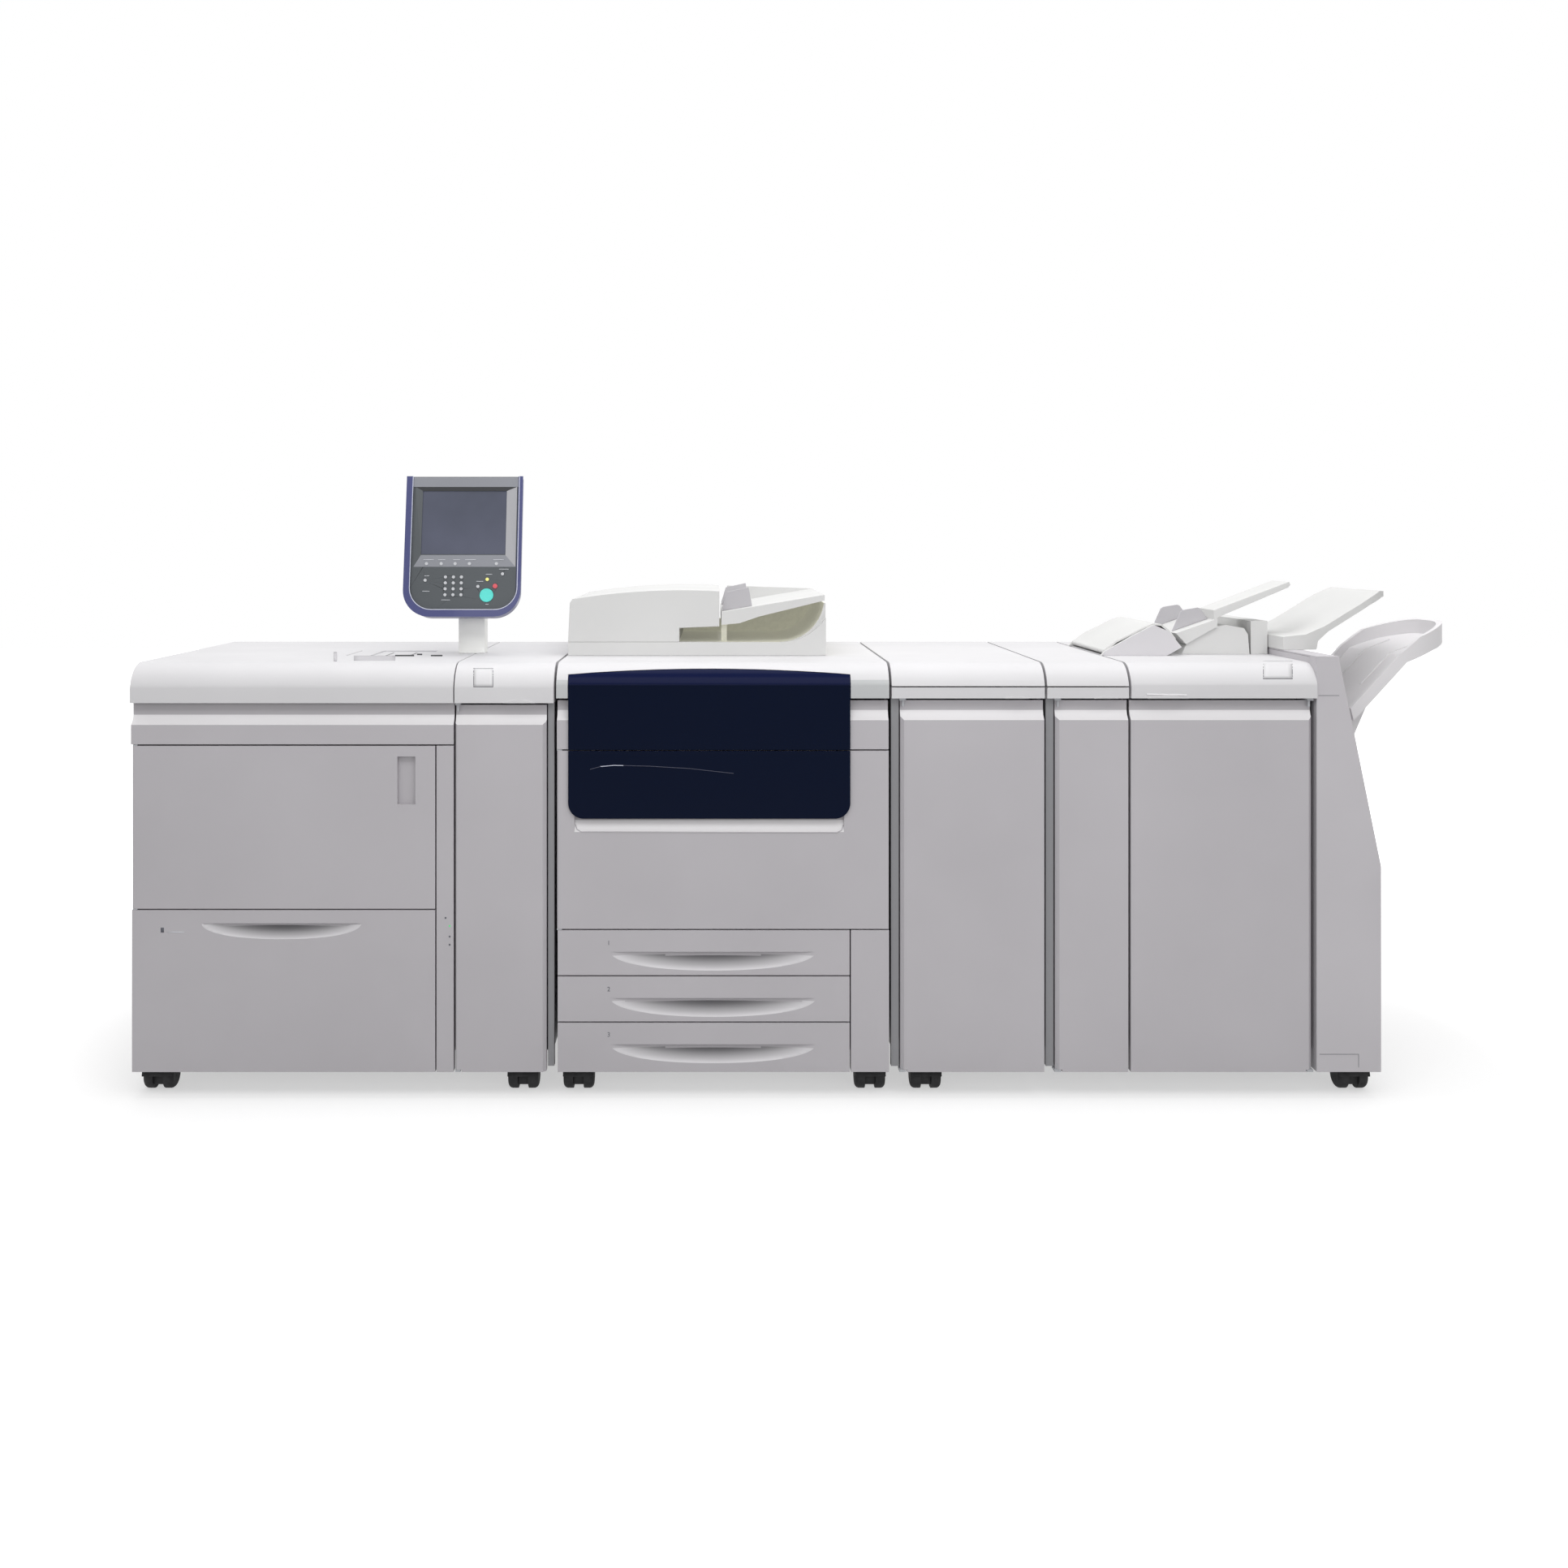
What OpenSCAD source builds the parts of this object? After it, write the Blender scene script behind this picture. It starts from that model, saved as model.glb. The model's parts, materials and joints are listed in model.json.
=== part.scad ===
// Digital production printer: paper feeder, print engine with document feeder, and finisher line.
// Seen from the front, +X runs to the right, +Y to the back and +Z up from the floor.

/* [Line] */
// Depth of the cabinets from door faces to rear covers
body_d = 760; // [720:10:820]
// Height of the flat cabinet tops above the floor
top_z = 1014; // [994:5:1044]
// Height of the lower edge of all doors and covers
floor_gap = 62; // [58:1:66]
// Height of the frames' base plates, carried by the casters
base_z = 104; // [102:1:110]
// Gap between two neighbouring cabinets
cabinet_gap = 6; // [4:1:10]
// Width of the joint line between doors and covers
seam = 3; // [2:0.5:4]
// Wall of the moulded covers
skin = 4; // [3:0.5:5]
// Thickness of the frames' steel plates
plate = 3; // [2:0.5:4]
// Thickness of the doors and drawer fronts
door_t = 24; // [22:1:28]
// Depth of the middle inner panels behind the door faces
inner_y = 110; // [90:5:140]

/* [Cabinet widths] */
// Width of the paper feeder
feeder_w = 753; // [720:1:790]
// Width of the transport section beside the feeder
transport_w = 231; // [215:1:260]
// Width of the print engine
engine_w = 776; // [750:1:800]
// Width of the interface module
interface_w = 356; // [330:1:380]
// Width of the folder module
folder_w = 190; // [170:1:210]
// Width of the finisher up to its end cover
finisher_w = 433; // [410:1:460]
// Width of the finisher's end cover at the floor
end_w = 151; // [145:1:170]

/* [Covers] */
// Radius of the rounded front edge of the top covers
cover_r = 70; // [62:1:80]
// How far the top covers stand proud of the doors
cover_proud = 6; // [3:0.5:8]
// Height of the feeder's rounded edge, top down to crease
feeder_round_h = 57; // [54:1:60]
// Height of the other cabinets' rounded edge
round_h = 51; // [48:1:54]
// Height of the upright band below the feeder's crease
feeder_band_h = 34; // [28:1:38]
// Height of the upright band below the other creases
band_h = 29; // [24:1:34]
// Height of the recess between a top cover and a door's lip
recess_h = 51; // [44:1:56]
// Depth of that recess behind the door face
recess_d = 15; // [10:1:18]
// Height and depth of the sloping lip at the top of a door
lip_h = 11; // [8:1:13]
// Width of the recessed channels beside the tall doors
channel_w = 18; // [14:1:22]
// Depth of those channels behind the door face
channel_d = 12; // [8:1:18]

/* [Feeder] */
// Height of the line between fascia and storage door
fascia_z = 823; // [805:1:834]
// Height of the line between storage door and drawer
drawer_z = 440; // [414:1:464]
// Width of the fixed column at the right of the feeder
column_w = 40; // [34:1:48]
// Travel of the paper drawer
drawer_travel = 560; // [450:10:600]
// Width of the drawer's arched hand scoop
scoop_w = 373; // [330:1:400]
// Height of that hand scoop
scoop_h = 37; // [32:1:44]
// Depth of the hand scoops
scoop_d = 19; // [15:1:20]

/* [Engine] */
// Height of the line between toner door and front door
toner_z = 813; // [799:1:824]
// Height of the line between front door and trays
tray_z = 393; // [384:1:404]
// Height of one tray front
tray_h = 108; // [104:1:112]
// Width of the fixed column at the right of the trays
tray_column_w = 89; // [80:1:100]
// Width of the trays' arched hand scoops
tray_scoop_w = 479; // [440:1:510]
// Height of those hand scoops
tray_scoop_h = 44; // [38:1:46]
// Travel of the paper trays
tray_travel = 440; // [350:10:470]
// Width of the dark glossy front panel
panel_w = 657; // [620:1:690]
// Distance of the glossy panel from the engine's left side
panel_inset = 28; // [20:1:40]
// Height of the glossy panel's lower edge
panel_z = 654; // [634:1:674]
// How far the glossy panel stands proud of the doors
panel_proud = 7; // [5:0.5:9]
// Corner radius of the glossy panel
panel_r = 36; // [28:1:42]

/* [Document feeder] */
// Width of the document feeder
adf_w = 644; // [600:1:680]
// Distance of its front from the door faces
adf_y = 245; // [220:5:270]
// Height of its base band
adf_band_h = 34; // [28:1:40]
// Height of its top above the cabinet
adf_h = 164; // [156:1:176]
// Width of the feed cover at its left
adf_cover_w = 378; // [350:1:400]

/* [Operator panel] */
// Width of the operator panel
ui_w = 288; // [274:1:306]
// Length of the operator panel along its face
ui_h = 358; // [345:1:375]
// Thickness of the operator panel
ui_t = 42; // [36:1:50]
// Height of its lower edge above the floor
ui_z = 1112; // [1100:1:1134]
// Backward lean of its face
ui_lean = 10; // [5:1:20]

/* [Finisher] */
// Height of the top of the end cover
end_top_z = 1032; // [1024:1:1044]
// Height where the end cover's slope begins
slope_z = 541; // [514:5:564]
// Width of the end cover at its top
end_top_w = 52; // [46:1:60]
// Travel of the stacker tray
stacker_travel = 260; // [200:10:265]

/* [Casters] */
// Radius of the caster wheels
wheel_r = 32; // [28:1:36]
// Width of a twin-wheel caster
caster_w = 72; // [62:1:76]
// Radius of the caster axles
axle_r = 5; // [4:0.5:6]
// Distance of the caster axles from the front and rear faces
caster_y = 75; // [70:1:100]

/* [Hidden] */

// Clearance between pieces that rest on each other
touch = 0.3;
// Overrun of cutting shapes
cut = 1;
// Radial clearance of pins in their bores
pin_fit = 0.05;
// Hinges: distance of a pin from the door's face and edge, its radius and its length in the door
hinge_in = 6;
pin_r = 3;
pin_l = 14;
// Half width of a tall door's notch for its lower ear: the ear's corner swings past it as the door turns
notch_half = hinge_in * (1 + sqrt(2)) + touch;
// Thickness of the hinge ears of tall doors, and reach of the lower one above the base plate
tall_ear_t = 5;
ear_arm_h = 30;

// Left sides of the cabinets
feeder_x = 0;
transport_x = feeder_x + feeder_w + seam;
engine_x = transport_x + transport_w + cabinet_gap;
interface_x = engine_x + engine_w + cabinet_gap;
folder_x = interface_x + interface_w + cabinet_gap;
finisher_x = folder_x + folder_w + cabinet_gap;
end_x = finisher_x + finisher_w;
end_wall_x = end_x + end_w;

// Heights of creases, cover edges and door lips
feeder_crease_z = top_z - feeder_round_h;
crease_z = top_z - round_h;
feeder_cover_z = feeder_crease_z - feeder_band_h;
cover_z = crease_z - band_h;
feeder_lip_z = feeder_cover_z - recess_h;
lip_z = cover_z - recess_h;

// Planes shared by the frames
frame_y = door_t + 2 * seam;
back_y = body_d - skin - touch;
frame_top_z = top_z - 24;
door_top_gap = 2 * seam;

// Reach of the stacker tray to the right of the end cover
stacker_reach = 290;
centre_x = (end_wall_x + stacker_reach) / 2;
latch_proud = 3;
centre_y = (body_d - cover_proud - latch_proud) / 2;

// Colours as the photograph shows them
white = [0.93, 0.93, 0.92];
warm_white = [0.88, 0.88, 0.84];
light_grey = [0.72, 0.71, 0.72];
mid_grey = [0.55, 0.55, 0.57];
steel = [0.62, 0.63, 0.65];
navy = [0.07, 0.09, 0.18];
blue_frame = [0.2, 0.22, 0.42];
dark_grey = [0.25, 0.27, 0.3];
black = [0.08, 0.08, 0.09];

// The origin lies at the middle of the footprint, on the floor
module stand() translate([-centre_x, -centre_y, 0]) children();

// A block between two values on each axis
module block(x, y, z) translate([x[0], y[0], z[0]]) cube([x[1] - x[0], y[1] - y[0], z[1] - z[0]]);

// Extrudes an outline given in depth and height from x to x + w
module along_x(x, w) translate([x, 0, 0]) rotate([90, 0, 90]) linear_extrude(w) children();

// Extrudes an outline given in width and height from y to y + d
module along_y(y, d) translate([0, y + d, 0]) rotate([90, 0, 0]) linear_extrude(d) children();

// A cylinder along X, from x to x + w, centred at depth y and height z
module rod_x(x, w, y, z, r) translate([x, y, z]) rotate([0, 90, 0]) cylinder(h = w, r = r, $fn = 48);

// A cylinder along Y, from y to y + d
module rod_y(x, y, d, z, r) translate([x, y, z]) rotate([-90, 0, 0]) cylinder(h = d, r = r, $fn = 48);

// A rectangle with round corners that stay true arcs
module round_rect(x, z, r) {
    for (cx = [x[0] + r, x[1] - r], cz = [z[0] + r, z[1] - r]) translate([cx, cz]) circle(r = r, $fn = 48);
    translate([x[0] + r, z[0]]) square([x[1] - x[0] - 2 * r, z[1] - z[0]]);
    translate([x[0], z[0] + r]) square([x[1] - x[0], z[1] - z[0] - 2 * r]);
}

// Outline of a top cover in depth and height, set in by a wall
module cover_outline(crease, bottom, back, wall = 0) {
    r = cover_r - wall;
    arc_z = top_z - cover_r;
    arc_y = sqrt(pow(cover_r, 2) - pow(crease - arc_z, 2)) - cover_proud;
    front = arc_y - sqrt(pow(r, 2) - pow(crease - arc_z, 2));
    difference() {
        translate([front, bottom]) square([back - wall - front, top_z - wall - bottom]);
        difference() {
            translate([front - cut, arc_z]) square([arc_y - front + cut, cover_r + cut]);
            translate([arc_y, arc_z]) circle(r = r, $fn = 96);
        }
    }
}

// A top cover as an open shell
module top_cover(x, w, crease, bottom) difference() {
    along_x(x, w) cover_outline(crease, bottom, body_d);
    along_x(x + skin, w - 2 * skin) cover_outline(crease, bottom - cut, body_d, skin);
}

// Outline of a tall door: upright face, sloping lip and recessed head
module door_outline(bottom, lip, top) polygon([
    [0, bottom], [0, lip], [lip_h, lip + lip_h], [recess_d, lip + 2 * lip_h],
    [recess_d, top], [door_t, top], [door_t, bottom]
]);

// An arched hand scoop: a round hollow swept along a wide arc, open to the front
module hand_scoop(x, z, w, h, d) {
    plan_r = (pow(w / 2, 2) + pow(d, 2)) / (2 * d);
    hollow_r = (pow(h, 2) + pow(d, 2)) / (2 * d);
    sweep = 2 * asin(w / 2 / plan_r) + 2;
    translate([x, d - plan_r, z]) rotate([0, 0, 90 - sweep / 2]) rotate_extrude(angle = sweep, $fn = 720)
        intersection() {
            translate([plan_r - hollow_r, 0]) circle(r = hollow_r, $fn = 96);
            translate([plan_r - d - cut, -h]) square([d + 2 * cut, h]);
        }
}

// Hinge of an upright door: two ears with pins, at the edge given, side 1 where the door lies to its right
module hinge_ears(side, edge, outer, low, high, ear_t) {
    axis_x = edge + side * hinge_in;
    far = edge + side * 2 * hinge_in;
    x = [min(outer, far), max(outer, far)];
    for (z = [low - touch - ear_t, high + touch]) block(x, [touch, frame_y - touch], [z, z + ear_t]);
    translate([axis_x, hinge_in, low - touch - ear_t]) cylinder(h = ear_t + touch + pin_l, r = pin_r, $fn = 32);
    translate([axis_x, hinge_in, high - pin_l]) cylinder(h = pin_l + touch + ear_t, r = pin_r, $fn = 32);
}

// Ears of a tall door, the lower one on an arm that hangs from the cabinet's floor
module tall_hinge(side, edge, outer, high) {
    far = edge + side * 2 * hinge_in;
    hinge_ears(side, edge, outer, floor_gap + tall_ear_t + touch, high, tall_ear_t);
    block([min(outer, far), max(outer, far)], [door_t + pin_r / 2, frame_y - touch], [floor_gap, base_z + ear_arm_h]);
}

// What a door loses to its hinge: two pin bores, and room for the front corner to turn
module hinge_cuts(side, edge, low, high) {
    axis_x = edge + side * hinge_in;
    for (z = [low - cut, high - pin_l - pin_fit])
        translate([axis_x, hinge_in, z]) cylinder(h = pin_l + cut + pin_fit, r = pin_r + pin_fit, $fn = 32);
    translate([0, 0, low - cut]) linear_extrude(high - low + 2 * cut) difference() {
        translate([min(edge - side * cut, axis_x), -cut]) square([hinge_in + cut, hinge_in + cut]);
        translate([axis_x, hinge_in]) circle(r = hinge_in, $fn = 48);
    }
}

// Bent steel carcass of a cabinet: floor, sides, back, lid and shelves as separate plates
module carcass(x, w, top, shelves = []) {
    left = x + plate + touch;
    right = x + w - plate - touch;
    low = base_z + plate + touch;
    block([x, x + w], [frame_y, back_y], [base_z, base_z + plate]);
    for (side = [x, x + w - plate]) block([side, side + plate], [frame_y, back_y], [low, top]);
    block([left, right], [back_y - plate, back_y], [low, top]);
    for (z = concat(shelves, [top - plate]))
        block([left, right], [frame_y, back_y - plate - touch], [z, z + plate]);
}

// Paper feeder and transport section

column_x = feeder_w - column_w;
feeder_door_x = [seam, column_x - seam];
drawer_scoop_x = column_x / 2 - 5;
drawer_scoop_drop = 31;
shelf_z = drawer_z + 8;
tub_x = [24, column_x - 16];
tub_z = base_z + plate + touch;
tub_back = 690;
tub_wall = 2;
tub_rim = drawer_z - 20;
lift_rest = tub_wall + touch;
lift_plate_t = 4;
lift_gap = 3;
lift_hole_r = 4;
post_x = transport_x - 14;
post_y = 352;
post_w = 66;
grip_x = feeder_door_x[1] - 88;
grip_w = 42;
grip_h = 112;
grip_d = 14;
grip_drop = 25;
bypass_x = [feeder_w - 253, feeder_w - 113];
bypass_y = [250, 420];
bypass_d = 3;
slot_w = 4;
slot_l = 110;
slot_pitch = 16;
jam_knob_z = [264, 494, 724];
jam_knob_r = 22;
jam_knob_l = 40;
transport_door_x = [transport_x + 1, transport_x + transport_w - channel_w];
edge_bevel = 8;
// Width and height of the latch grips, and how far their middles lie from the covers' sides
latch_wide = [74, 9];
latch_small = [56, 5];
latch_long = [96, 8];
latch_in = [81, 65, 53, 85];

// Lens-shaped finger grip that stands proud of a cover's lower edge
module latch_grip(x, z, size) {
    r = (pow(size[0] / 2, 2) + pow(size[1], 2)) / (2 * size[1]);
    intersection() {
        rod_y(x, -cover_proud - latch_proud, latch_proud + skin / 2, z + size[1] - r, r);
        block([x - size[0], x + size[0]], [-cover_proud - latch_proud, 0], [z, z + 2 * size[1]]);
    }
}

// Cooling slots in a rear cover
module cooling_slots(x, low, count) for (i = [0:count - 1])
    block(x, [back_y, body_d + cut], [low + slot_pitch * i, low + slot_pitch * i + slot_w]);

module feeder_frame() color(steel) stand() {
    carcass(feeder_x + skin + touch, feeder_w - 2 * (skin + touch), frame_top_z, [shelf_z]);
    carcass(transport_x + skin + touch, transport_w - 2 * (skin + touch), frame_top_z);
    // Inner panel of the transport section, with its paper guides
    inner_panel(transport_x, transport_w);
    for (z = jam_knob_z) rod_y(transport_x + transport_w / 2, inner_y - jam_knob_l, jam_knob_l - touch, z, jam_knob_r);
    hinge_ears(1, feeder_door_x[0], feeder_door_x[0] + 2, drawer_z + seam, fascia_z - touch, seam - touch);
    tall_hinge(1, transport_door_x[0], transport_door_x[0], feeder_cover_z - door_top_gap);
}

module feeder_top_cover() color(white) stand() difference() {
    top_cover(feeder_x, feeder_w, feeder_crease_z, feeder_cover_z);
    // Shallow tray of the bypass feed and its guide slots
    block(bypass_x, bypass_y, [top_z - bypass_d, top_z + cut]);
    for (x = [bypass_x[0] + 30, bypass_x[0] + 90])
        block([x, x + slot_w], [bypass_y[0] + 30, bypass_y[0] + 30 + slot_l], [top_z - skin - cut, top_z]);
    block([bypass_x[0] - 60, bypass_x[0] - 60 + slot_w], bypass_y, [top_z - bypass_d, top_z + cut]);
}

module feeder_fascia() color(light_grey) stand() {
    // Strip under the top cover
    along_x(feeder_x + touch, feeder_w - touch) door_outline(fascia_z + seam, feeder_lip_z, feeder_cover_z - touch);
    // Column beside door and drawer, set over the frame's side
    block([column_x, feeder_w], [0, door_t], [floor_gap, fascia_z]);
    block([column_x + seam, feeder_w], [door_t + touch, frame_y - touch], [base_z, fascia_z]);
    // Recessed channel at the right of the transport door
    block([transport_door_x[1] + seam, transport_x + transport_w], [channel_d, frame_y - touch],
        [floor_gap + 10, feeder_cover_z - touch]);
}

module feeder_side_cover() color(light_grey) stand()
    block([feeder_x, feeder_x + skin], [door_t + seam, back_y], [floor_gap, feeder_cover_z - touch]);

module feeder_rear_cover() color(light_grey) stand() difference() {
    block([feeder_x, transport_x + transport_w], [back_y + touch, body_d], [floor_gap, feeder_cover_z - touch]);
    // Cooling slots
    cooling_slots([120, 300], 644, 8);
}

module transport_top_cover() color(white) stand() {
    top_cover(transport_x, transport_w, feeder_crease_z, feeder_cover_z);
    latch_grip(transport_x + transport_w - latch_in[0], feeder_cover_z, latch_wide);
}

module storage_door() color(light_grey) stand() difference() {
    block(feeder_door_x, [0, door_t], [drawer_z + seam, fascia_z - touch]);
    // Upright grip recess
    block([grip_x, grip_x + grip_w], [-cut, grip_d],
        [fascia_z - grip_drop - grip_h, fascia_z - grip_drop]);
    hinge_cuts(1, feeder_door_x[0], drawer_z + seam, fascia_z - touch);
}

module feeder_drawer() color(light_grey) stand() {
    difference() {
        block(feeder_door_x, [0, door_t], [floor_gap, drawer_z - touch]);
        hand_scoop(drawer_scoop_x, drawer_z - drawer_scoop_drop, scoop_w, scoop_h, scoop_d);
    }
    // Tub of bent sheet: floor, sides, back and front
    block(tub_x, [door_t + touch, tub_back], [tub_z, tub_z + tub_wall]);
    for (x = [tub_x[0], tub_x[1] - tub_wall])
        block([x, x + tub_wall], [door_t + touch, tub_back], [tub_z + tub_wall + touch, tub_rim]);
    for (y = [door_t + touch, tub_back - tub_wall])
        block([tub_x[0] + tub_wall + touch, tub_x[1] - tub_wall - touch], [y, y + tub_wall],
            [tub_z + tub_wall + touch, tub_rim]);
}

module feeder_lift_plate() color(steel) stand()
    block([tub_x[0] + tub_wall + lift_gap, tub_x[1] - tub_wall - lift_gap],
        [door_t + touch + tub_wall + lift_gap, tub_back - tub_wall - lift_gap],
        [tub_z + lift_rest, tub_z + lift_rest + lift_plate_t]);

// A tall cabinet door with a bevelled upright edge on one side
module tall_door(x, lip, top, bevel_side, hinge_side) difference() {
    along_x(x[0], x[1] - x[0]) door_outline(floor_gap, lip, top);
    edge = bevel_side > 0 ? x[1] : x[0];
    hinge_edge = hinge_side > 0 ? x[0] : x[1];
    block([hinge_edge - notch_half, hinge_edge + notch_half], [-cut, door_t + cut], [floor_gap - cut, floor_gap + tall_ear_t + touch]);
    hinge_cuts(hinge_side, hinge_edge, floor_gap + tall_ear_t + touch, top);
    translate([0, 0, floor_gap - cut]) linear_extrude(top - floor_gap + 2 * cut) polygon([
        [edge - bevel_side * edge_bevel, -cut], [edge + bevel_side * cut, -cut],
        [edge + bevel_side * cut, edge_bevel], [edge, edge_bevel], [edge - bevel_side * edge_bevel, 0]
    ]);
}

module transport_door() color(light_grey) stand()
    tall_door(transport_door_x, feeder_lip_z, feeder_cover_z - door_top_gap, 1, 1);

// Print engine

tray_x = [engine_x + seam, engine_x + engine_w - tray_column_w - seam];
cassette_x = [tray_x[0] + 16, tray_x[1] - 12];
tray_scoop_in = 22;
tray_scoop_drop = 50;
cassette_back = 560;
cassette_wall = 2;
engine_lid_z = top_z - 50;
toner_shelf_z = toner_z + 6;
panel_x = [engine_x + panel_inset, engine_x + panel_inset + panel_w];
panel_arc_rise = 12;
panel_top_z = top_z - 14;
panel_gap = 1;
glass_x = [engine_x + 60, engine_x + 492];
glass_y = [330, 640];
glass_t = 4;
carriage_w = 46;
carriage_x = glass_x[0] + 4;
bottle_r = 42;
bottle_l = 380;
bottle_y = 44;
drum_r = 30;
drum_z = 584;
inner_panel_y = 58;
dock_y = [120, 600];
dock_z = [164, 664];
dock_s = 60;
pocket_h = 32;
pocket_d = 12;

module engine_frame() color(steel) stand() {
    carcass(engine_x + skin + touch, engine_w - 2 * (skin + touch), engine_lid_z, [
        base_z + tray_h - 36, tray_z - tray_h - 2, tray_z + 1, toner_shelf_z
    ]);
    hinge_ears(1, engine_x + 1, engine_x + 1, tray_z + seam, toner_z - seam / 2, seam - 2 * touch);
    // Docking spacers bolted to the cabinets at both sides
    for (x = [engine_x - cabinet_gap, engine_x + engine_w], y = dock_y, z = dock_z)
        block([x - skin, x + cabinet_gap + skin], [y, y + dock_s], [z, z + dock_s]);
    // Catches of the toner door
    for (x = [engine_x + 120, engine_x + engine_w - 120])
        block([x, x + 30], [door_t + touch, frame_y - touch], [toner_shelf_z, toner_shelf_z + plate]);
}

// Front outlines of the glossy panel: a head with an arched top, and a foot with round corners
module panel_head(grow, low) intersection() {
    arc_r = (pow(panel_w / 2, 2) + pow(panel_arc_rise, 2)) / (2 * panel_arc_rise);
    translate([panel_x[0] - grow, low]) square([panel_w + 2 * grow, top_z - low]);
    translate([(panel_x[0] + panel_x[1]) / 2, panel_top_z + grow - arc_r]) circle(r = arc_r, $fn = 720);
}

module panel_foot(high) intersection() {
    round_rect(panel_x, [panel_z, top_z], panel_r);
    translate([panel_x[0], panel_z]) square([panel_w, high - panel_z]);
}

module engine_top_cover() color(white) stand() difference() {
    top_cover(engine_x, engine_w, crease_z, cover_z);
    // Cut-out for the arched head of the glossy panel
    along_y(-2 * cover_proud, cover_r + cover_proud) panel_head(panel_gap, cover_z - cut);
    // Seat of the platen glass and the scanner's window
    block([glass_x[0] - touch, glass_x[1] + touch], [glass_y[0] - touch, glass_y[1] + touch],
        [top_z - glass_t / 2, top_z + cut]);
    block([glass_x[0] + 8, glass_x[1] - 8], [glass_y[0] + 8, glass_y[1] - 8], [top_z - skin - cut, top_z]);
}

module platen_glass() color([0.6, 0.75, 0.78]) stand()
    block([glass_x[0], glass_x[1]], [glass_y[0], glass_y[1]], [top_z - glass_t / 2 + touch / 2, top_z + touch]);

module scanner_carriage() color(black) stand() {
    block([carriage_x, carriage_x + carriage_w], [glass_y[0] - 10, glass_y[1] + 10],
        [engine_lid_z + touch, engine_lid_z + 36]);
}

module engine_rear_cover() color(light_grey) stand() difference() {
    block([engine_x, engine_x + engine_w], [back_y + touch, body_d], [floor_gap, cover_z - touch]);
    cooling_slots([engine_x + 90, engine_x + 330], 524, 10);
}

// Moulded wall behind the front door, with the mouths of the drum cartridges
module engine_inner_cover() color(warm_white) stand() difference() {
    block([engine_x + skin + plate + 2 * touch, engine_x + engine_w - skin - plate - 2 * touch],
        [inner_panel_y, inner_panel_y + skin], [tray_z + 1 + plate + touch, toner_shelf_z - touch]);
    for (i = [0:3]) rod_y(engine_x + 150 + 130 * i, inner_panel_y - cut, skin + 2 * cut, drum_z, drum_r + 2 * touch);
}

module drum_cartridges() color(dark_grey) stand() for (i = [0:3]) difference() {
    rod_y(engine_x + 150 + 130 * i, inner_panel_y - 14, 360, drum_z, drum_r);
    block([engine_x + 150 + 130 * i - drum_r, engine_x + 150 + 130 * i + drum_r],
        [inner_panel_y - 15, inner_panel_y - 4], [drum_z + 4, drum_z + drum_r + 1]);
}

module toner_bottles() color(dark_grey) stand() for (i = [0:3])
    rod_y(engine_x + 150 + 155 * i, bottle_y, bottle_l, toner_shelf_z + plate + touch + bottle_r, bottle_r);

module engine_column_cover() color(light_grey) stand()
    block([engine_x + engine_w - tray_column_w, engine_x + engine_w], [0, frame_y - touch],
        [floor_gap, tray_z - touch]);

module toner_door() color(light_grey) stand()
    along_x(engine_x + 1, engine_w - 2) door_outline(toner_z + seam / 2, lip_z, cover_z - door_top_gap);

// Section of the panel: the covers' own section moved forward, as a thin shell
module panel_section() difference() {
    translate([cover_proud - panel_proud, 0]) cover_outline(crease_z, panel_z - cut, body_d);
    translate([cover_proud - panel_proud, 0]) cover_outline(crease_z, panel_z - 2 * cut, 2 * body_d, panel_proud - touch);
}

module glossy_panel() intersection() {
    along_y(-cover_r, 2 * cover_r) children();
    along_x(panel_x[0], panel_w) panel_section();
}

module toner_door_panel() color(navy) stand() glossy_panel() panel_head(0, toner_z + seam / 2);

module front_door() color(light_grey) stand() difference() {
    block([engine_x + 1, engine_x + engine_w - 1], [0, door_t], [tray_z + seam, toner_z - seam / 2]);
    // Finger pocket under the glossy panel
    along_x(panel_x[0] + 14, panel_w - 28) polygon([
        [-cut, panel_z - pocket_h], [0, panel_z - pocket_h], [pocket_d, panel_z - 6],
        [pocket_d, panel_z + 8], [-cut, panel_z + 8]
    ]);
    hinge_cuts(1, engine_x + 1, tray_z + seam, toner_z - seam / 2);
}

module front_door_panel() color(navy) stand() glossy_panel() panel_foot(toner_z - seam / 2);

// A paper tray: moulded front with a hand scoop, and a sheet-metal tub
module paper_tray(i) {
    top = tray_z - tray_h * i - touch;
    bottom = i == 2 ? floor_gap : tray_z - tray_h * (i + 1) + seam;
    tub_low = [tray_z - tray_h, base_z + tray_h - 36, base_z][i] + plate + touch - (i == 0 ? 2 : 0);
    tub_high = top - (i == 0 ? 4 : 8) - (i == 2 ? 14 : 0);
    difference() {
        block(tray_x, [0, door_t], [bottom, top]);
        hand_scoop((tray_x[0] + tray_x[1]) / 2 + tray_scoop_in, top - tray_scoop_drop, tray_scoop_w, tray_scoop_h, scoop_d);
    }
    block(cassette_x, [door_t + touch, cassette_back], [tub_low, tub_low + cassette_wall]);
    for (x = [cassette_x[0], cassette_x[1] - cassette_wall])
        block([x, x + cassette_wall], [door_t + touch, cassette_back], [tub_low + cassette_wall + touch, tub_high]);
    for (y = [door_t + touch, cassette_back - cassette_wall])
        block([cassette_x[0] + cassette_wall + touch, cassette_x[1] - cassette_wall - touch],
            [y, y + cassette_wall], [tub_low + cassette_wall + touch, tub_high]);
}

module tray_1() color(light_grey) stand() paper_tray(0);
module tray_2() color(light_grey) stand() paper_tray(1);
module tray_3() color(light_grey) stand() paper_tray(2);

// Document feeder on the engine's flat top

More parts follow.
